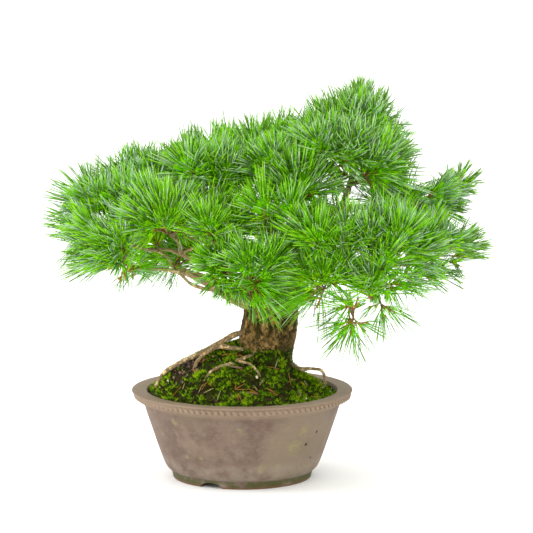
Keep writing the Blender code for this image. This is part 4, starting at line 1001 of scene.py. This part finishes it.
# Leading shoots in millimetres: base, tip, and how many sheaths of needles they carry
TUFTS = {
    "needles_left_high": (
        (-165, 8, 268, -218, 0, 296, 30),
        (-172, 12, 276, -215, 8, 311, 17),
        (-168, 20, 271, -189, 22, 314, 30),
        (-153, 5, 271, -156, -5, 321, 30),
        (-171, 5, 253, -225, 0, 262, 30),
        (-175, 15, 246, -226, 20, 241, 25),
        (-148, -5, 259, -140, -15, 302, 20),
        (-135, 0, 216, -130, -12, 182, 6),
        (-139, 35, 281, -162, 45, 317, 30),
    ),
    "needles_left_low": (
        (-150, -30, 226, -180, -45, 262, 33),
        (-153, -25, 224, -202, -35, 229, 27),
        (-154, -15, 220, -201, -20, 208, 20),
        (-142, -20, 214, -150, -32, 186, 5),
        (-142, -20, 213, -136, -34, 184, 4),
        (-137, -30, 213, -105, -45, 222, 12),
        (-148, -10, 219, -175, 0, 197, 6),
    ),
    "needles_left_top": (
        (-132, 25, 291, -137, 20, 335, 33),
        (-146, 20, 293, -151, 18, 339, 25),
        (-137, 20, 298, -137, 18, 347, 17),
        (-110, 15, 292, -114, 10, 338, 30),
        (-99, 25, 297, -95, 20, 341, 33),
        (-122, 40, 297, -128, 50, 332, 27),
    ),
    "needles_left_front": (
        (-105, -40, 257, -140, -55, 291, 27),
        (-107, -45, 256, -141, -70, 272, 25),
        (-99, -45, 256, -104, -60, 308, 35),
        (-101, -40, 257, -124, -45, 304, 30),
        (-93, -45, 258, -67, -60, 300, 30),
        (-90, -40, 253, -63, -60, 276, 20),
        (-66, -35, 253, -71, -50, 293, 25),
    ),
    "needles_left_back": (
        (-88, 46, 213, -96, 42, 180, 7),
        (-96, 50, 212, -109, 48, 182, 6),
        (-108, 55, 211, -130, 60, 187, 6),
        (-82, 46, 218, -100, 44, 214, 12),
        (-118, 60, 213, -158, 80, 213, 23),
        (-61, 55, 209, -96, 60, 229, 27),
        (-90, 50, 210, -126, 55, 226, 23),
        (-76, 52, 220, -88, 60, 258, 23),
    ),
    "needles_centre_left": (
        (-42, -62, 216, -68, -80, 203, 18),
        (-42, -62, 216, -54, -84, 193, 18),
        (-40, -62, 215, -38, -86, 190, 15),
        (-28, -64, 208, -26, -88, 186, 9),
        (-30, -60, 212, -52, -80, 196, 12),
        (-59, -35, 251, -18, -50, 291, 33),
        (-54, -45, 252, -6, -70, 270, 25),
        (-61, -40, 253, -44, -50, 301, 30),
        (-42, -60, 219, -63, -80, 245, 25),
        (-40, -60, 217, -34, -85, 250, 20),
        (-46, -60, 217, -71, -70, 228, 12),
    ),
    "needles_upper_left": (
        (-78, 0, 312, -80, -5, 357, 33),
        (-54, -15, 293, -52, -30, 338, 35),
        (-54, 0, 318, -58, 0, 374, 20),
        (-34, -5, 313, -39, -5, 366, 20),
        (-70, -20, 303, -87, -30, 343, 30),
        (-26, -20, 300, -4, -35, 336, 27),
        (-41, -25, 298, -33, -45, 340, 30),
    ),
    "needles_upper_left_back": (
        (-67, 60, 303, -70, 65, 345, 27),
        (-42, 70, 302, -45, 75, 346, 27),
        (-35, 45, 280, -45, 45, 315, 25),
    ),
    "needles_front": (
        (-15, -72, 205, 29, -95, 204, 14),
        (-14, -72, 203, 20, -90, 176, 10),
        (-15, -74, 203, -10, -95, 173, 8),
        (-15, -72, 207, -17, -100, 240, 12),
        (-16, -62, 212, -30, -74, 228, 10),
        (-18, -70, 204, -36, -90, 194, 8),
        (-4, -60, 213, 19, -75, 251, 27),
        (-11, -74, 207, 8, -112, 234, 12),
    ),
    "needles_centre": (
        (-1, -45, 255, -2, -58, 288, 12),
        (1, -45, 254, 17, -55, 282, 10),
        (16, -50, 225, 37, -75, 258, 25),
        (39, -50, 253, 68, -70, 262, 12),
        (33, -55, 252, 50, -80, 233, 12),
        (9, -50, 237, -8, -85, 240, 17),
    ),
    "needles_upper_centre": (
        (31, -45, 289, 32, -60, 343, 37),
        (29, -45, 289, 11, -50, 338, 30),
        (33, -45, 290, 54, -55, 336, 30),
        (27, -48, 288, -6, -70, 297, 17),
        (33, -48, 288, 68, -70, 303, 12),
        (-14, -15, 322, -14, -15, 376, 27),
        (3, -10, 323, 4, -15, 379, 27),
        (19, -10, 323, 18, -10, 378, 25),
        (-4, -30, 309, -12, -50, 346, 25),
        (31, -48, 286, 23, -72, 268, 7),
    ),
    "needles_upper_centre_back": (
        (34, 40, 317, 34, 40, 365, 25),
        (-5, 60, 311, -5, 60, 358, 25),
        (-17, 40, 275, -27, 35, 314, 28),
        (8, 45, 280, 2, 45, 319, 25),
    ),
    "needles_apex": (
        (75, -20, 350, 71, -20, 399, 27),
        (68, -15, 350, 60, -18, 399, 14),
        (91, -5, 365, 84, -8, 406, 25),
        (95, 0, 368, 98, 0, 408, 25),
        (99, 5, 364, 113, 5, 405, 19),
        (107, 5, 358, 126, 5, 388, 17),
        (111, 0, 350, 143, -5, 364, 23),
        (113, -10, 331, 151, -10, 349, 17),
    ),
    "needles_apex_left": (
        (70, -35, 328, 84, -45, 373, 33),
        (67, -35, 326, 58, -45, 369, 30),
        (63, -15, 342, 45, -20, 394, 25),
        (55, -20, 335, 35, -25, 376, 25),
        (54, -35, 297, 82, -60, 307, 7),
        (72, -40, 320, 86, -80, 340, 17),
        (69, -20, 273, 71, -25, 303, 6),
    ),
    "needles_apex_right": (
        (98, -40, 309, 102, -55, 358, 35),
        (106, -40, 313, 147, -50, 348, 30),
        (102, -42, 309, 150, -60, 326, 25),
        (104, -42, 313, 126, -75, 349, 27),
        (98, -35, 307, 114, -50, 287, 6),
        (85, -5, 297, 107, -10, 305, 12),
    ),
    "needles_apex_back": (
        (122, 40, 336, 146, 45, 359, 23),
        (84, 20, 300, 64, 20, 312, 14),
    ),
    "needles_right_high": (
        (131, -5, 274, 126, -25, 305, 27),
        (143, -5, 277, 156, -25, 304, 23),
        (157, 0, 272, 188, -15, 298, 30),
        (174, 10, 279, 210, 10, 295, 25),
        (192, 10, 292, 197, 5, 316, 20),
        (191, 15, 290, 216, 20, 302, 20),
        (171, 5, 268, 203, 0, 268, 26),
        (182, 20, 283, 180, 25, 309, 20),
        (113, 5, 275, 85, 5, 291, 7),
    ),
    "needles_right_low": (
        (187, -22, 232, 223, -25, 241, 30),
        (184, -20, 234, 210, -20, 258, 25),
        (184, -22, 227, 221, -30, 224, 20),
        (180, -24, 222, 212, -30, 210, 14),
        (168, -28, 218, 196, -36, 205, 10),
        (169, -30, 234, 181, -50, 265, 27),
        (156, -30, 208, 191, -40, 209, 17),
        (152, -30, 211, 188, -35, 191, 8),
        (153, -10, 241, 162, -20, 271, 23),
    ),
    "needles_front_right": (
        (115, -70, 240, 114, -90, 286, 33),
        (131, -65, 237, 138, -85, 281, 33),
        (103, -75, 199, 106, -100, 244, 35),
        (119, -75, 207, 151, -100, 211, 12),
        (117, -70, 204, 166, -85, 191, 8),
        (133, -60, 207, 180, -72, 197, 8),
        (105, -75, 228, 101, -90, 253, 14),
        (135, -65, 227, 169, -90, 249, 27),
        (111, -85, 222, 129, -116, 256, 25),
        (96, -72, 199, 79, -100, 238, 27),
        (109, -62, 209, 106, -66, 190, 17),
        (117, -60, 208, 120, -64, 190, 10),
        (102, -70, 192, 93, -85, 232, 20),
        (134, -40, 206, 173, -50, 225, 17),
    ),
    "needles_front_mid": (
        (54, -75, 207, 58, -95, 251, 33),
        (50, -75, 205, 19, -95, 232, 20),
        (49, -72, 201, 9, -85, 167, 9),
        (77, -70, 228, 75, -90, 272, 33),
        (62, -75, 207, 91, -105, 231, 25),
        (54, -70, 194, 41, -80, 168, 5),
        (59, -50, 199, 17, -60, 189, 14),
        (55, -50, 196, 25, -62, 171, 10),
    ),
    "needles_droop_left": (
        (84, -56, 182, 42, -66, 176, 11),
        (84, -56, 183, 56, -68, 202, 8),
        (86, -58, 178, 92, -66, 196, 6),
        (86, -58, 177, 82, -64, 193, 5),
        (84, -58, 167, 48, -70, 160, 6),
        (86, -58, 166, 108, -62, 166, 2),
        (85, -58, 169, 80, -62, 118, 11),
        (85, -58, 170, 56, -70, 136, 9),
        (87, -58, 169, 114, -68, 141, 5),
    ),
    "needles_droop_right": (
        (114, -45, 182, 148, -58, 162, 8),
        (113, -45, 182, 119, -55, 148, 6),
        (112, -48, 184, 92, -60, 176, 4),
    ),
}


# The outline that the crown is trimmed to, and the openings in it, as the front view shows them in
# millimetres from its middle. An opening is its middle, its half width and height, and how clear it is.
OUTLINE = (
    (-224, 39), (-223, 53), (-220, 63), (-225, 70), (-224, 78), (-221, 89), (-213, 87), (-214, 98), (-206, 96),
    (-196, 96), (-190, 103), (-182, 106), (-175, 104), (-169, 105), (-167, 110), (-162, 112), (-156, 117),
    (-148, 120), (-143, 124), (-136, 124), (-129, 124), (-122, 123), (-117, 119), (-115, 125), (-109, 126),
    (-103, 127), (-100, 131), (-94, 131), (-90, 120), (-88, 139), (-82, 143), (-79, 147), (-74, 143),
    (-70, 146), (-64, 144), (-60, 139), (-59, 154), (-52, 156), (-46, 152), (-39, 155), (-32, 155), (-27, 142),
    (-23, 155), (-16, 158), (-10, 157), (-4, 158), (2, 158), (5, 162), (10, 153), (18, 162), (25, 157),
    (32, 159), (37, 156), (40, 174), (46, 171), (48, 177), (54, 172), (58, 181), (63, 177), (67, 179),
    (72, 177), (76, 184), (83, 187), (85, 194), (90, 186), (94, 194), (99, 195), (103, 187), (107, 190),
    (111, 192), (115, 185), (120, 186), (125, 182), (123, 176), (126, 169), (130, 163), (132, 160), (135, 152),
    (141, 145), (144, 139), (151, 136), (148, 128), (149, 121), (153, 114), (155, 103), (153, 95), (152, 87),
    (157, 85), (162, 82), (167, 83), (173, 85), (179, 92), (183, 100), (186, 103), (191, 107), (197, 107),
    (202, 101), (208, 100), (213, 94), (217, 83), (217, 71), (210, 65), (200, 61), (204, 56), (193, 53),
    (186, 50), (189, 43), (193, 39), (200, 41), (208, 45), (214, 47), (219, 40), (221, 31), (229, 29),
    (224, 24), (231, 18), (230, 14), (223, 10), (227, 5), (214, 3), (204, 3), (196, -1), (197, -9), (194, -17),
    (193, -25), (184, -25), (180, -33), (172, -31), (164, -36), (150, -37), (158, -50), (155, -62), (143, -72),
    (130, -79), (119, -77), (113, -73), (121, -91), (112, -91), (103, -88), (98, -102), (93, -108), (86, -112),
    (78, -105), (70, -94), (63, -90), (54, -96), (49, -89), (56, -78), (46, -69), (52, -61), (45, -53),
    (46, -44), (40, -38), (34, -44), (32, -64), (24, -67), (10, -63), (-4, -59), (-16, -55), (-24, -47),
    (-34, -40), (-44, -33), (-52, -30), (-66, -23), (-76, -11), (-82, -11), (-85, -23), (-90, -26), (-95, -31),
    (-101, -27), (-106, -22), (-114, -21), (-120, -22), (-127, -22), (-131, -18), (-132, -24),
    (-134, -28), (-139, -31), (-146, -26), (-152, -27), (-157, -25), (-160, -14), (-158, -4), (-164, -5),
    (-168, -7), (-171, -11), (-178, -14), (-186, -14), (-194, -14), (-206, -13), (-213, -8), (-210, 0),
    (-214, 4), (-204, 10), (-206, 16), (-196, 18), (-186, 18), (-192, 26), (-206, 28), (-218, 28), (-224, 32),
)
OPENINGS = (
    (67, 70, 5, 6, 0.95), (99, 73, 9, 4, 0.8), (63, 79, 6, 3, 0.7), (110, 82, 12, 4, 0.45), (116, 75, 3, 4, 0.6),
    (108, 56, 5, 4, 0.5), (84, 54, 6, 3, 0.5), (67, 44, 5, 3, 0.8), (95, 42, 4, 2, 0.7), (48, 78, 2, 2, 0.8),
    (41, 54, 7, 4, 0.45), (1, 70, 8, 4, 0.7), (-7, 64, 4, 6, 0.8), (-15, 51, 6, 8, 0.8), (-18, 30, 7, 4, 0.8),
    (24, 46, 7, 4, 0.4), (52, -26, 4, 3, 0.7), (91, -29, 6, 5, 0.95), (76, -20, 5, 4, 0.8), (106, 14, 3, 3, 0.9),
    (101, -43, 8, 4, 0.9), (155, -22, 12, 3, 0.6), (-166, 50, 14, 4, 0.7), (-162, 42, 5, 4, 0.6),
    (-122, 24, 7, 4, 0.6), (146, 88, 8, 8, 0.8), (144, 110, 4, 10, 0.6), (144, 134, 6, 5, 0.7), (38, -45, 8, 6, 0.9), (183, 44, 7, 4, 0.7), (191, 45, 6, 6, 0.95), (158, 94, 4, 9, 0.9), (-74, -2, 7, 4, 0.45), (-62, -16, 5, 3, 0.6),
    (-58, 135, 5, 8, 1.0), (-28, 137, 3, 6, 0.5), (-90, 113, 4, 4, 0.5), (-108, 109, 2, 4, 0.8),
)


def front_view(points):
    """Where points show in the front view, in metres from its middle, at the tree's own scale."""
    offset = points - np.array(LOOK_AT[:])
    depth = DISTANCE + offset[:, 1] * math.cos(ELEVATION) - offset[:, 2] * math.sin(ELEVATION)
    rise = offset[:, 1] * math.sin(ELEVATION) + offset[:, 2] * math.cos(ELEVATION)
    return np.stack((offset[:, 0], rise), axis=1) * (DISTANCE / depth)[:, None]


def within_outline(points):
    """For each point, whether it shows inside the crown's outline: rays to the right cross it an odd time."""
    spots = front_view(points)
    corners = np.array(OUTLINE) * MILLIMETRE
    inside = np.zeros(len(points), bool)
    for (x, y), (next_x, next_y) in zip(corners, np.roll(corners, -1, axis=0)):
        level = (spots[:, 1] < y) != (spots[:, 1] < next_y)
        crossing = x + (spots[:, 1] - y) * (next_x - x) / (next_y - y + 1e-12)
        inside ^= level & (spots[:, 0] < crossing)
    return inside


def openness(points):
    """How clear the crown is kept where each point shows, from 0 to 1."""
    spots = front_view(points) / MILLIMETRE
    clear = np.zeros(len(points))
    for x, y, wide, tall, share in OPENINGS:
        near = ((spots[:, 0] - x) / wide) ** 2 + ((spots[:, 1] - y) / tall) ** 2 < 1.0
        clear = np.where(near, np.maximum(clear, share), clear)
    return clear


def limb_capsules():
    """Trunk and boughs as short straight pieces: starts, ends and radii."""
    starts, ends, thick = [], [], []
    rows = smooth_line(TRUNK_LINE, 2)
    lines = [([Vector(row[:3]) for row in rows], [row[3] for row in rows])]
    lines += [bough_line(name, 0.009) for name in BOUGHS]
    for line, radii in lines:
        for index in range(len(line) - 1):
            starts.append(line[index][:])
            ends.append(line[index + 1][:])
            thick.append(max(radii[index], radii[index + 1]))
    return np.array(starts), np.array(ends), np.array(thick)


CAPSULES = limb_capsules()


def clear_of_limbs(points, room):
    """For each point, whether it is further than room outside every limb."""
    starts, ends, thick = CAPSULES
    spans = ends - starts
    offset = points[:, None, :] - starts[None]
    share = np.clip((offset * spans).sum(2) / (spans * spans).sum(1), 0.0, 1.0)
    distance = np.linalg.norm(offset - spans * share[..., None], axis=2)
    return (distance > thick + room).all(1)


def walls_of(name):
    """The planes between a mass and its neighbours, as ways out of the hub and distances from it."""
    carrier, hub, spread, lean, count = MASSES[name]
    own = max(spread)
    ways, shares = [], []
    for other, row in MASSES.items():
        if other != name:
            way = Vector(row[1]) - Vector(hub)
            apart = way.length
            ways.append((way / apart)[:])
            shares.append((apart * apart + own * own - max(row[2]) ** 2) / (2 * apart))
    return np.array(ways), np.array(shares)


def holds(points, name, walls, room):
    ways, shares = walls
    return ((points - np.array(MASSES[name][1])) @ ways.T < shares - room).all(1)


def shoot_places(name, draw):
    """Base, aim, reach and sheaths of each shoot: the leading ones, then others on a spiral round the hub."""
    carrier, hub, spread, lean, count = MASSES[name]
    lean = Vector(lean)
    for row in TUFTS.get(name, ()):
        base, tip = Vector(row[:3]) * MILLIMETRE, Vector(row[3:6]) * MILLIMETRE
        yield base, (tip - base).normalized(), (tip - base).length, row[6]
    start = draw.uniform(0.0, math.tau)
    for step in range(TRIALS):
        turn = start + step * GOLDEN_TURN
        rise = TOP_RISE - RISE_SPAN * (step + 0.5) / TRIALS
        flat = math.sqrt(1 - rise * rise)
        way = Vector((math.cos(turn) * flat, math.sin(turn) * flat, rise))
        if way.dot(lean) < LEAN_LIMIT:
            continue
        reach = draw.uniform(0.70, 1.15)
        base = Vector(hub) + Vector((way.x * spread[0], way.y * spread[1], way.z * spread[2])) * reach
        aim = (way + lean + Vector((0.0, 0.0, SHOOT_LIFT))).normalized()
        yield base, aim, NEEDLE * draw.uniform(0.90, 1.06), FULL_SHEATHS


def limb_end(name):
    if name == "trunk":
        return trunk_line[-1], (trunk_line[-1] - trunk_line[-2]).normalized(), TRUNK_LINE[-1][3]
    line, radii = bough_line(name)
    return line[-1], (line[-1] - line[-2]).normalized(), radii[-1]


def tube_rows(line, radii, sides):
    """Points and triangles of a thin closed tube with flat ends, as arrays for a joined mesh."""
    points, triangles = [], []
    ways = [(line[min(i + 1, len(line) - 1)] - line[max(i - 1, 0)]).normalized() for i in range(len(line))]
    across = ways[0].orthogonal().normalized()
    for centre, way, radius in zip(line, ways, radii):
        across = (across - way * across.dot(way)).normalized()
        beside = way.cross(across)
        for side in range(sides):
            angle = math.tau * side / sides
            points.append((centre + (across * math.cos(angle) + beside * math.sin(angle)) * radius)[:])
    for ring in range(len(line) - 1):
        low, high = ring * sides, (ring + 1) * sides
        for side in range(sides):
            following = (side + 1) % sides
            triangles.append((low + side, low + following, high + following))
            triangles.append((low + side, high + following, high + side))
    top = (len(line) - 1) * sides
    for side in range(1, sides - 1):
        triangles.append((0, side + 1, side))
        triangles.append((top, top + side, top + side + 1))
    return points, triangles


class Bundle:
    """Many small closed meshes of one kind, gathered to be built as one piece."""

    def __init__(self):
        self.points = []
        self.triangles = []

    def add(self, points, triangles):
        first = len(self.points)
        self.points += points
        self.triangles += [tuple(corner + first for corner in row) for row in triangles]

    def build(self, name, paint):
        piece = build_mesh(name, np.array(self.points), np.array(self.triangles))
        piece.data.shade_smooth()
        piece.data.materials.append(paint)
        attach(piece, "root")
        return piece


BELOW = np.array([0.0, 0.0, 0.024])
twigs = Bundle()
cores = Bundle()
shoots = []
for name, (carrier, hub, spread, lean, count) in MASSES.items():
    draw = random.Random(name)
    walls = walls_of(name)
    tip, way, thin = limb_end(carrier)
    hub = Vector(hub)
    stem = smooth_line([tip - way * 0.002, tip + way * 0.006, tip.lerp(hub, 0.7) + way * 0.002, hub], 4)
    last = len(stem) - 1
    twigs.add(*tube_rows(stem, [thin + (0.0014 - thin) * index / last for index in range(last + 1)], 7))
    leading = len(TUFTS.get(name, ()))
    wanted = leading + (count if hub.y > -0.03 else round(count * FEWER_IN_FRONT))
    chosen = []
    for index, (base, aim, reach, sheaths) in enumerate(shoot_places(name, draw)):
        if len(chosen) >= wanted:
            break
        sheaths = round(sheaths * FULLER)
        spot = np.array([base[:]])
        if index >= leading:
            tip_spot = np.array([(base + aim * reach * 0.9)[:]])
            if not (all((base - other).length > SHOOT_APART for other in chosen)
                    and holds(spot, name, walls, -0.004)[0] and clear_of_limbs(spot, 0.004)[0]
                    and within_outline(np.vstack((tip_spot, spot - BELOW))).all() and openness(spot)[0] < 0.5):
                continue
        chosen.append(base)
        near = min(stem[len(stem) // 2:], key=lambda place: (place - base).length)
        root = near.lerp(hub, draw.uniform(0.0, 0.4))
        bend = (root + base) / 2 - aim * (base - root).length * TWIG_SAG
        line = smooth_line([root, bend, base - aim * 0.001, base + aim * 0.004], 4)
        last = len(line) - 1
        twigs.add(*tube_rows(line, [0.0010 - 0.0003 * index / last for index in range(last + 1)], 6))
        stout = 0.45 + 0.55 * min(1.0, sheaths / FULL_SHEATHS)
        core = [base, base + aim * SHOOT_LENGTH * 0.5, base + aim * SHOOT_LENGTH, base + aim * SHOOT_LENGTH * 1.4]
        cores.add(*tube_rows(core, [radius * stout for radius in (0.0012, 0.0015, 0.0012, 0.0002)], 6))
        shoots.append((name, base, aim, reach, sheaths, index < leading))
twigs.build("twigs", bark("twig_bark", (0.520, 0.390, 0.200), (0.300, 0.205, 0.100), False, 0.4))
cores.build("shoot_scales", plain("bud_brown", (0.400, 0.170, 0.040), 0.6, 0.1))


# Needles
# Five fine needles come from each papery sheath and arch apart, and the sheaths stand all round the shoot.
# They are bright green inside, painted brighter than needles are: painted light that stands in for light through the
# needles and offsets the shade inside the tufts. Further out they are paler or blue-green, where the bands of wax show.

NEEDLES_EACH = 5
NEEDLE_RADIUS = 0.00058
SHEATH_LENGTH = 0.0055
LEADING = 1.13
FRINGE = 0.033
RIM = 0.012
INNER_RINGS = ((0.0, 0.70), (0.42, 1.0))
OUTER_RINGS = ((0.42, 1.0), (0.86, 0.78))
# The inner tones are painted brighter and greener than needles are: painted light, standing in for light through the
# needles and offsetting the shade in the tufts.
INNER_TONES = {
    "bright": (0.390, 0.800, 0.012),
    "green": (0.300, 0.830, 0.006),
    "deep": (0.185, 0.640, 0.004),
}
OUTER_TONES = {
    "fresh": (0.295, 0.690, 0.020),
    "leaf": (0.200, 0.590, 0.010),
    "pale": (0.400, 0.645, 0.250),
    "frost": (0.450, 0.650, 0.410),
    "shade": (0.145, 0.325, 0.030),
}
SIDES = {
    "left": ("left_high", "left_low", "left_top", "left_front", "left_back"),
    "upper": ("upper_left", "upper_left_back", "upper_centre", "upper_centre_back", "apex", "apex_left",
              "apex_right", "apex_back"),
    "front": ("centre_left", "front", "centre", "front_mid", "front_right", "droop_left", "droop_right"),
    "right": ("right_high", "right_low", "right_back", "right_low_back", "back"),
}
SIDE_OF = {"needles_" + mass: side for side, masses in SIDES.items() for mass in masses}


def unit(rows):
    return rows / np.linalg.norm(rows, axis=1, keepdims=True)


def grow_tuft(base, aim, reach, sheaths, leading, draw):
    """The needles of one shoot: places, ways, lengths and bends, and the inner and outer tone of each."""
    across, beside = (row[0] for row in across_of(aim[None]))
    sheath = np.arange(sheaths)
    share = (sheath + 0.5) / sheaths
    turn = sheath * GOLDEN_TURN + draw.uniform(0.0, math.tau)
    tilt = np.radians(66.0 - 58.0 * share ** 0.80) + draw.normal(0.0, 0.06, sheaths)
    out = across * np.cos(turn)[:, None] + beside * np.sin(turn)[:, None]
    way = aim * np.cos(tilt)[:, None] + out * np.sin(tilt)[:, None]
    place = base + aim * (SHOOT_LENGTH * share)[:, None]
    length = (reach - SHOOT_LENGTH * 0.5) * draw.uniform(0.80, 1.12, sheaths) * (LEADING if leading else 1.0)
    inward = aim * (draw.uniform(0.0, 0.16, sheaths) * np.sin(tilt))[:, None]
    level = np.sqrt(np.maximum(0.0, 1.0 - way[:, 2] ** 2))
    droop = np.array([0.0, 0.0, 1.0]) * (draw.uniform(0.02, 0.14, sheaths) * level)[:, None]
    bend = inward - droop + draw.normal(0.0, 0.07, (sheaths, 3))
    inner, outer = pick_tones(base, sheaths, draw)
    sheath_place, sheath_way = place, way

    way, place, bend, length = (np.repeat(rows, NEEDLES_EACH, axis=0) for rows in (way, place, bend, length))
    count = len(way)
    first, second = across_of(way)
    spin = np.tile(np.arange(NEEDLES_EACH) * math.tau / NEEDLES_EACH, sheaths)
    spin += np.repeat(draw.uniform(0.0, math.tau, sheaths), NEEDLES_EACH)
    side = first * np.cos(spin)[:, None] + second * np.sin(spin)[:, None]
    wide = 1.0 + 1.2 * max(0.0, 1.0 - sheaths / 14.0)
    fan = np.repeat(draw.uniform(0.08, 0.21, sheaths), NEEDLES_EACH) * draw.uniform(0.7, 1.3, count) * wide
    way = unit(way + side * fan[:, None])
    length = length * draw.uniform(0.84, 1.06, count) * (1.08 if sheaths < 14 else 1.0)
    width = np.full(count, NEEDLE_RADIUS * (0.80 if sheaths < 14 else 1.0))
    bend = (bend - side * (fan * 0.40)[:, None] + draw.normal(0.0, 0.03, (count, 3))) * length[:, None]

    ahead = FRINGE * draw.uniform(0.0, 1.0, sheaths) ** 1.2 - 0.009 + (0.0 if leading else 0.009)
    ahead = np.repeat(ahead, NEEDLES_EACH) * min(1.0, sheaths / 12.0) + draw.uniform(-0.003, 0.003, count)
    for trial in range(9):
        tip = place + way * length[:, None] + bend
        inside = (np.abs(tip[:, 0]) < REACH.x) & (np.abs(tip[:, 1]) < REACH.y) & (tip[:, 2] < REACH.z)
        inside &= within_outline(tip + unit(way * length[:, None] + bend * 2.0) * ahead[:, None])
        length = np.where(inside, length, length * 0.955)
        bend = np.where(inside[:, None], bend, bend * 0.955)
    # Most needles whose tips come near the crown's outline take the dark 'shade' tone: painted shade on the crown's
    # fringe.
    rim = ~within_outline(tip + unit(way) * RIM)
    outer = np.where(rim & (draw.random(count) < 0.60), 4, outer)
    inside &= ~rim | (draw.random(count) < 0.72)
    middle = place + way * (length * 0.55)[:, None] + bend * 0.3
    further = place + way * (length * 0.80)[:, None] + bend * 0.64
    clear = np.maximum(openness(tip), np.maximum(openness(middle), openness(further)))
    keep = (inside & clear_of_limbs(tip, 0.001) & clear_of_limbs(middle, 0.001)
            & (draw.random(count) > clear * (0.6 if leading else 1.0)))
    held = keep.reshape(sheaths, NEEDLES_EACH).any(1)
    rows = place, way, length, bend, width, np.repeat(inner, NEEDLES_EACH), outer
    return [row[keep] for row in rows], (sheath_place[held], sheath_way[held])


def pick_tones(base, sheaths, draw):
    """Tones by height and place: sunlit outer shoots show more wax, the low ones in front are bright or deep, and
    sparse shoots are painted darker, as painted shade.
    """
    height = (base[2] - 0.20) / 0.17
    outside = min(1.0, max(0.0, abs(base[0] - 0.01) / 0.12 - 0.35))
    light = 0.30 + 0.20 * (base[1] < -0.03) - 0.16 * height + draw.uniform(-0.15, 0.15)
    wax = 0.20 + 0.34 * height + 0.28 * outside + draw.uniform(-0.10, 0.10)
    fresh = 0.45
    if base[1] < -0.03 and base[0] < -0.05:
        wax -= 0.10
        fresh = 0.85
    # Sparse shoots get no bright inner tone and few fresh outer ones: painted shade on the thin sprays that hang below
    # the crown.
    if sheaths < 14:
        light, fresh, wax = 0.0, 0.10, wax + 0.10
    inner = draw.random(sheaths)
    inner = np.where(inner < light, 0, np.where(inner < 0.88 - 0.50 * (sheaths < 14), 1, 2))
    count = sheaths * NEEDLES_EACH
    waxy = draw.random(count) < wax
    outer = np.where(waxy, 2 + (draw.random(count) < 0.15 + 0.5 * outside), draw.random(count) > fresh).astype(int)
    return inner, outer


grown = {side: [] for side in SIDES}
husks = []
draw = np.random.default_rng(7)
for name, base, aim, reach, sheaths, leading in shoots:
    tuft, sheath_rows = grow_tuft(np.array(base[:]), np.array(aim[:]), reach, sheaths, leading, draw)
    grown[SIDE_OF[name]].append(tuft)
    husks.append(sheath_rows)
place, way = (np.concatenate(column) for column in zip(*husks))
piece = blades("needle_sheaths", place, way, np.full(len(place), SHEATH_LENGTH), np.full(len(place), 0.0011),
               np.zeros_like(place), ((0.0, 0.8), (1.0, 1.0)), False)
piece.data.materials.append(plain("sheath_brown", (0.420, 0.230, 0.060), 0.6, 0.1))
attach(piece, "root")
total = 0
for side, tufts in grown.items():
    *rows, inner, outer = (np.concatenate(column) for column in zip(*tufts))
    for tones, picks, rings, pointed in ((INNER_TONES, inner, INNER_RINGS, False),
                                         (OUTER_TONES, outer, OUTER_RINGS, True)):
        for index, (tone, colour) in enumerate(tones.items()):
            place, way, length, bend, width = (row[picks == index] for row in rows)
            piece = blades(f"{side}_{tone}_sprays", place, way, length, width, bend, rings, pointed)
            total += len(piece.data.polygons)
            piece.data.materials.append(plain(f"{side}_{tone}", colour, 0.5, 0.10 if pointed else 0.0))
            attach(piece, "root")
            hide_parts(*("needles_" + mass for mass in SIDES[side]))
print("shoots", len(shoots), "needle triangles", total)
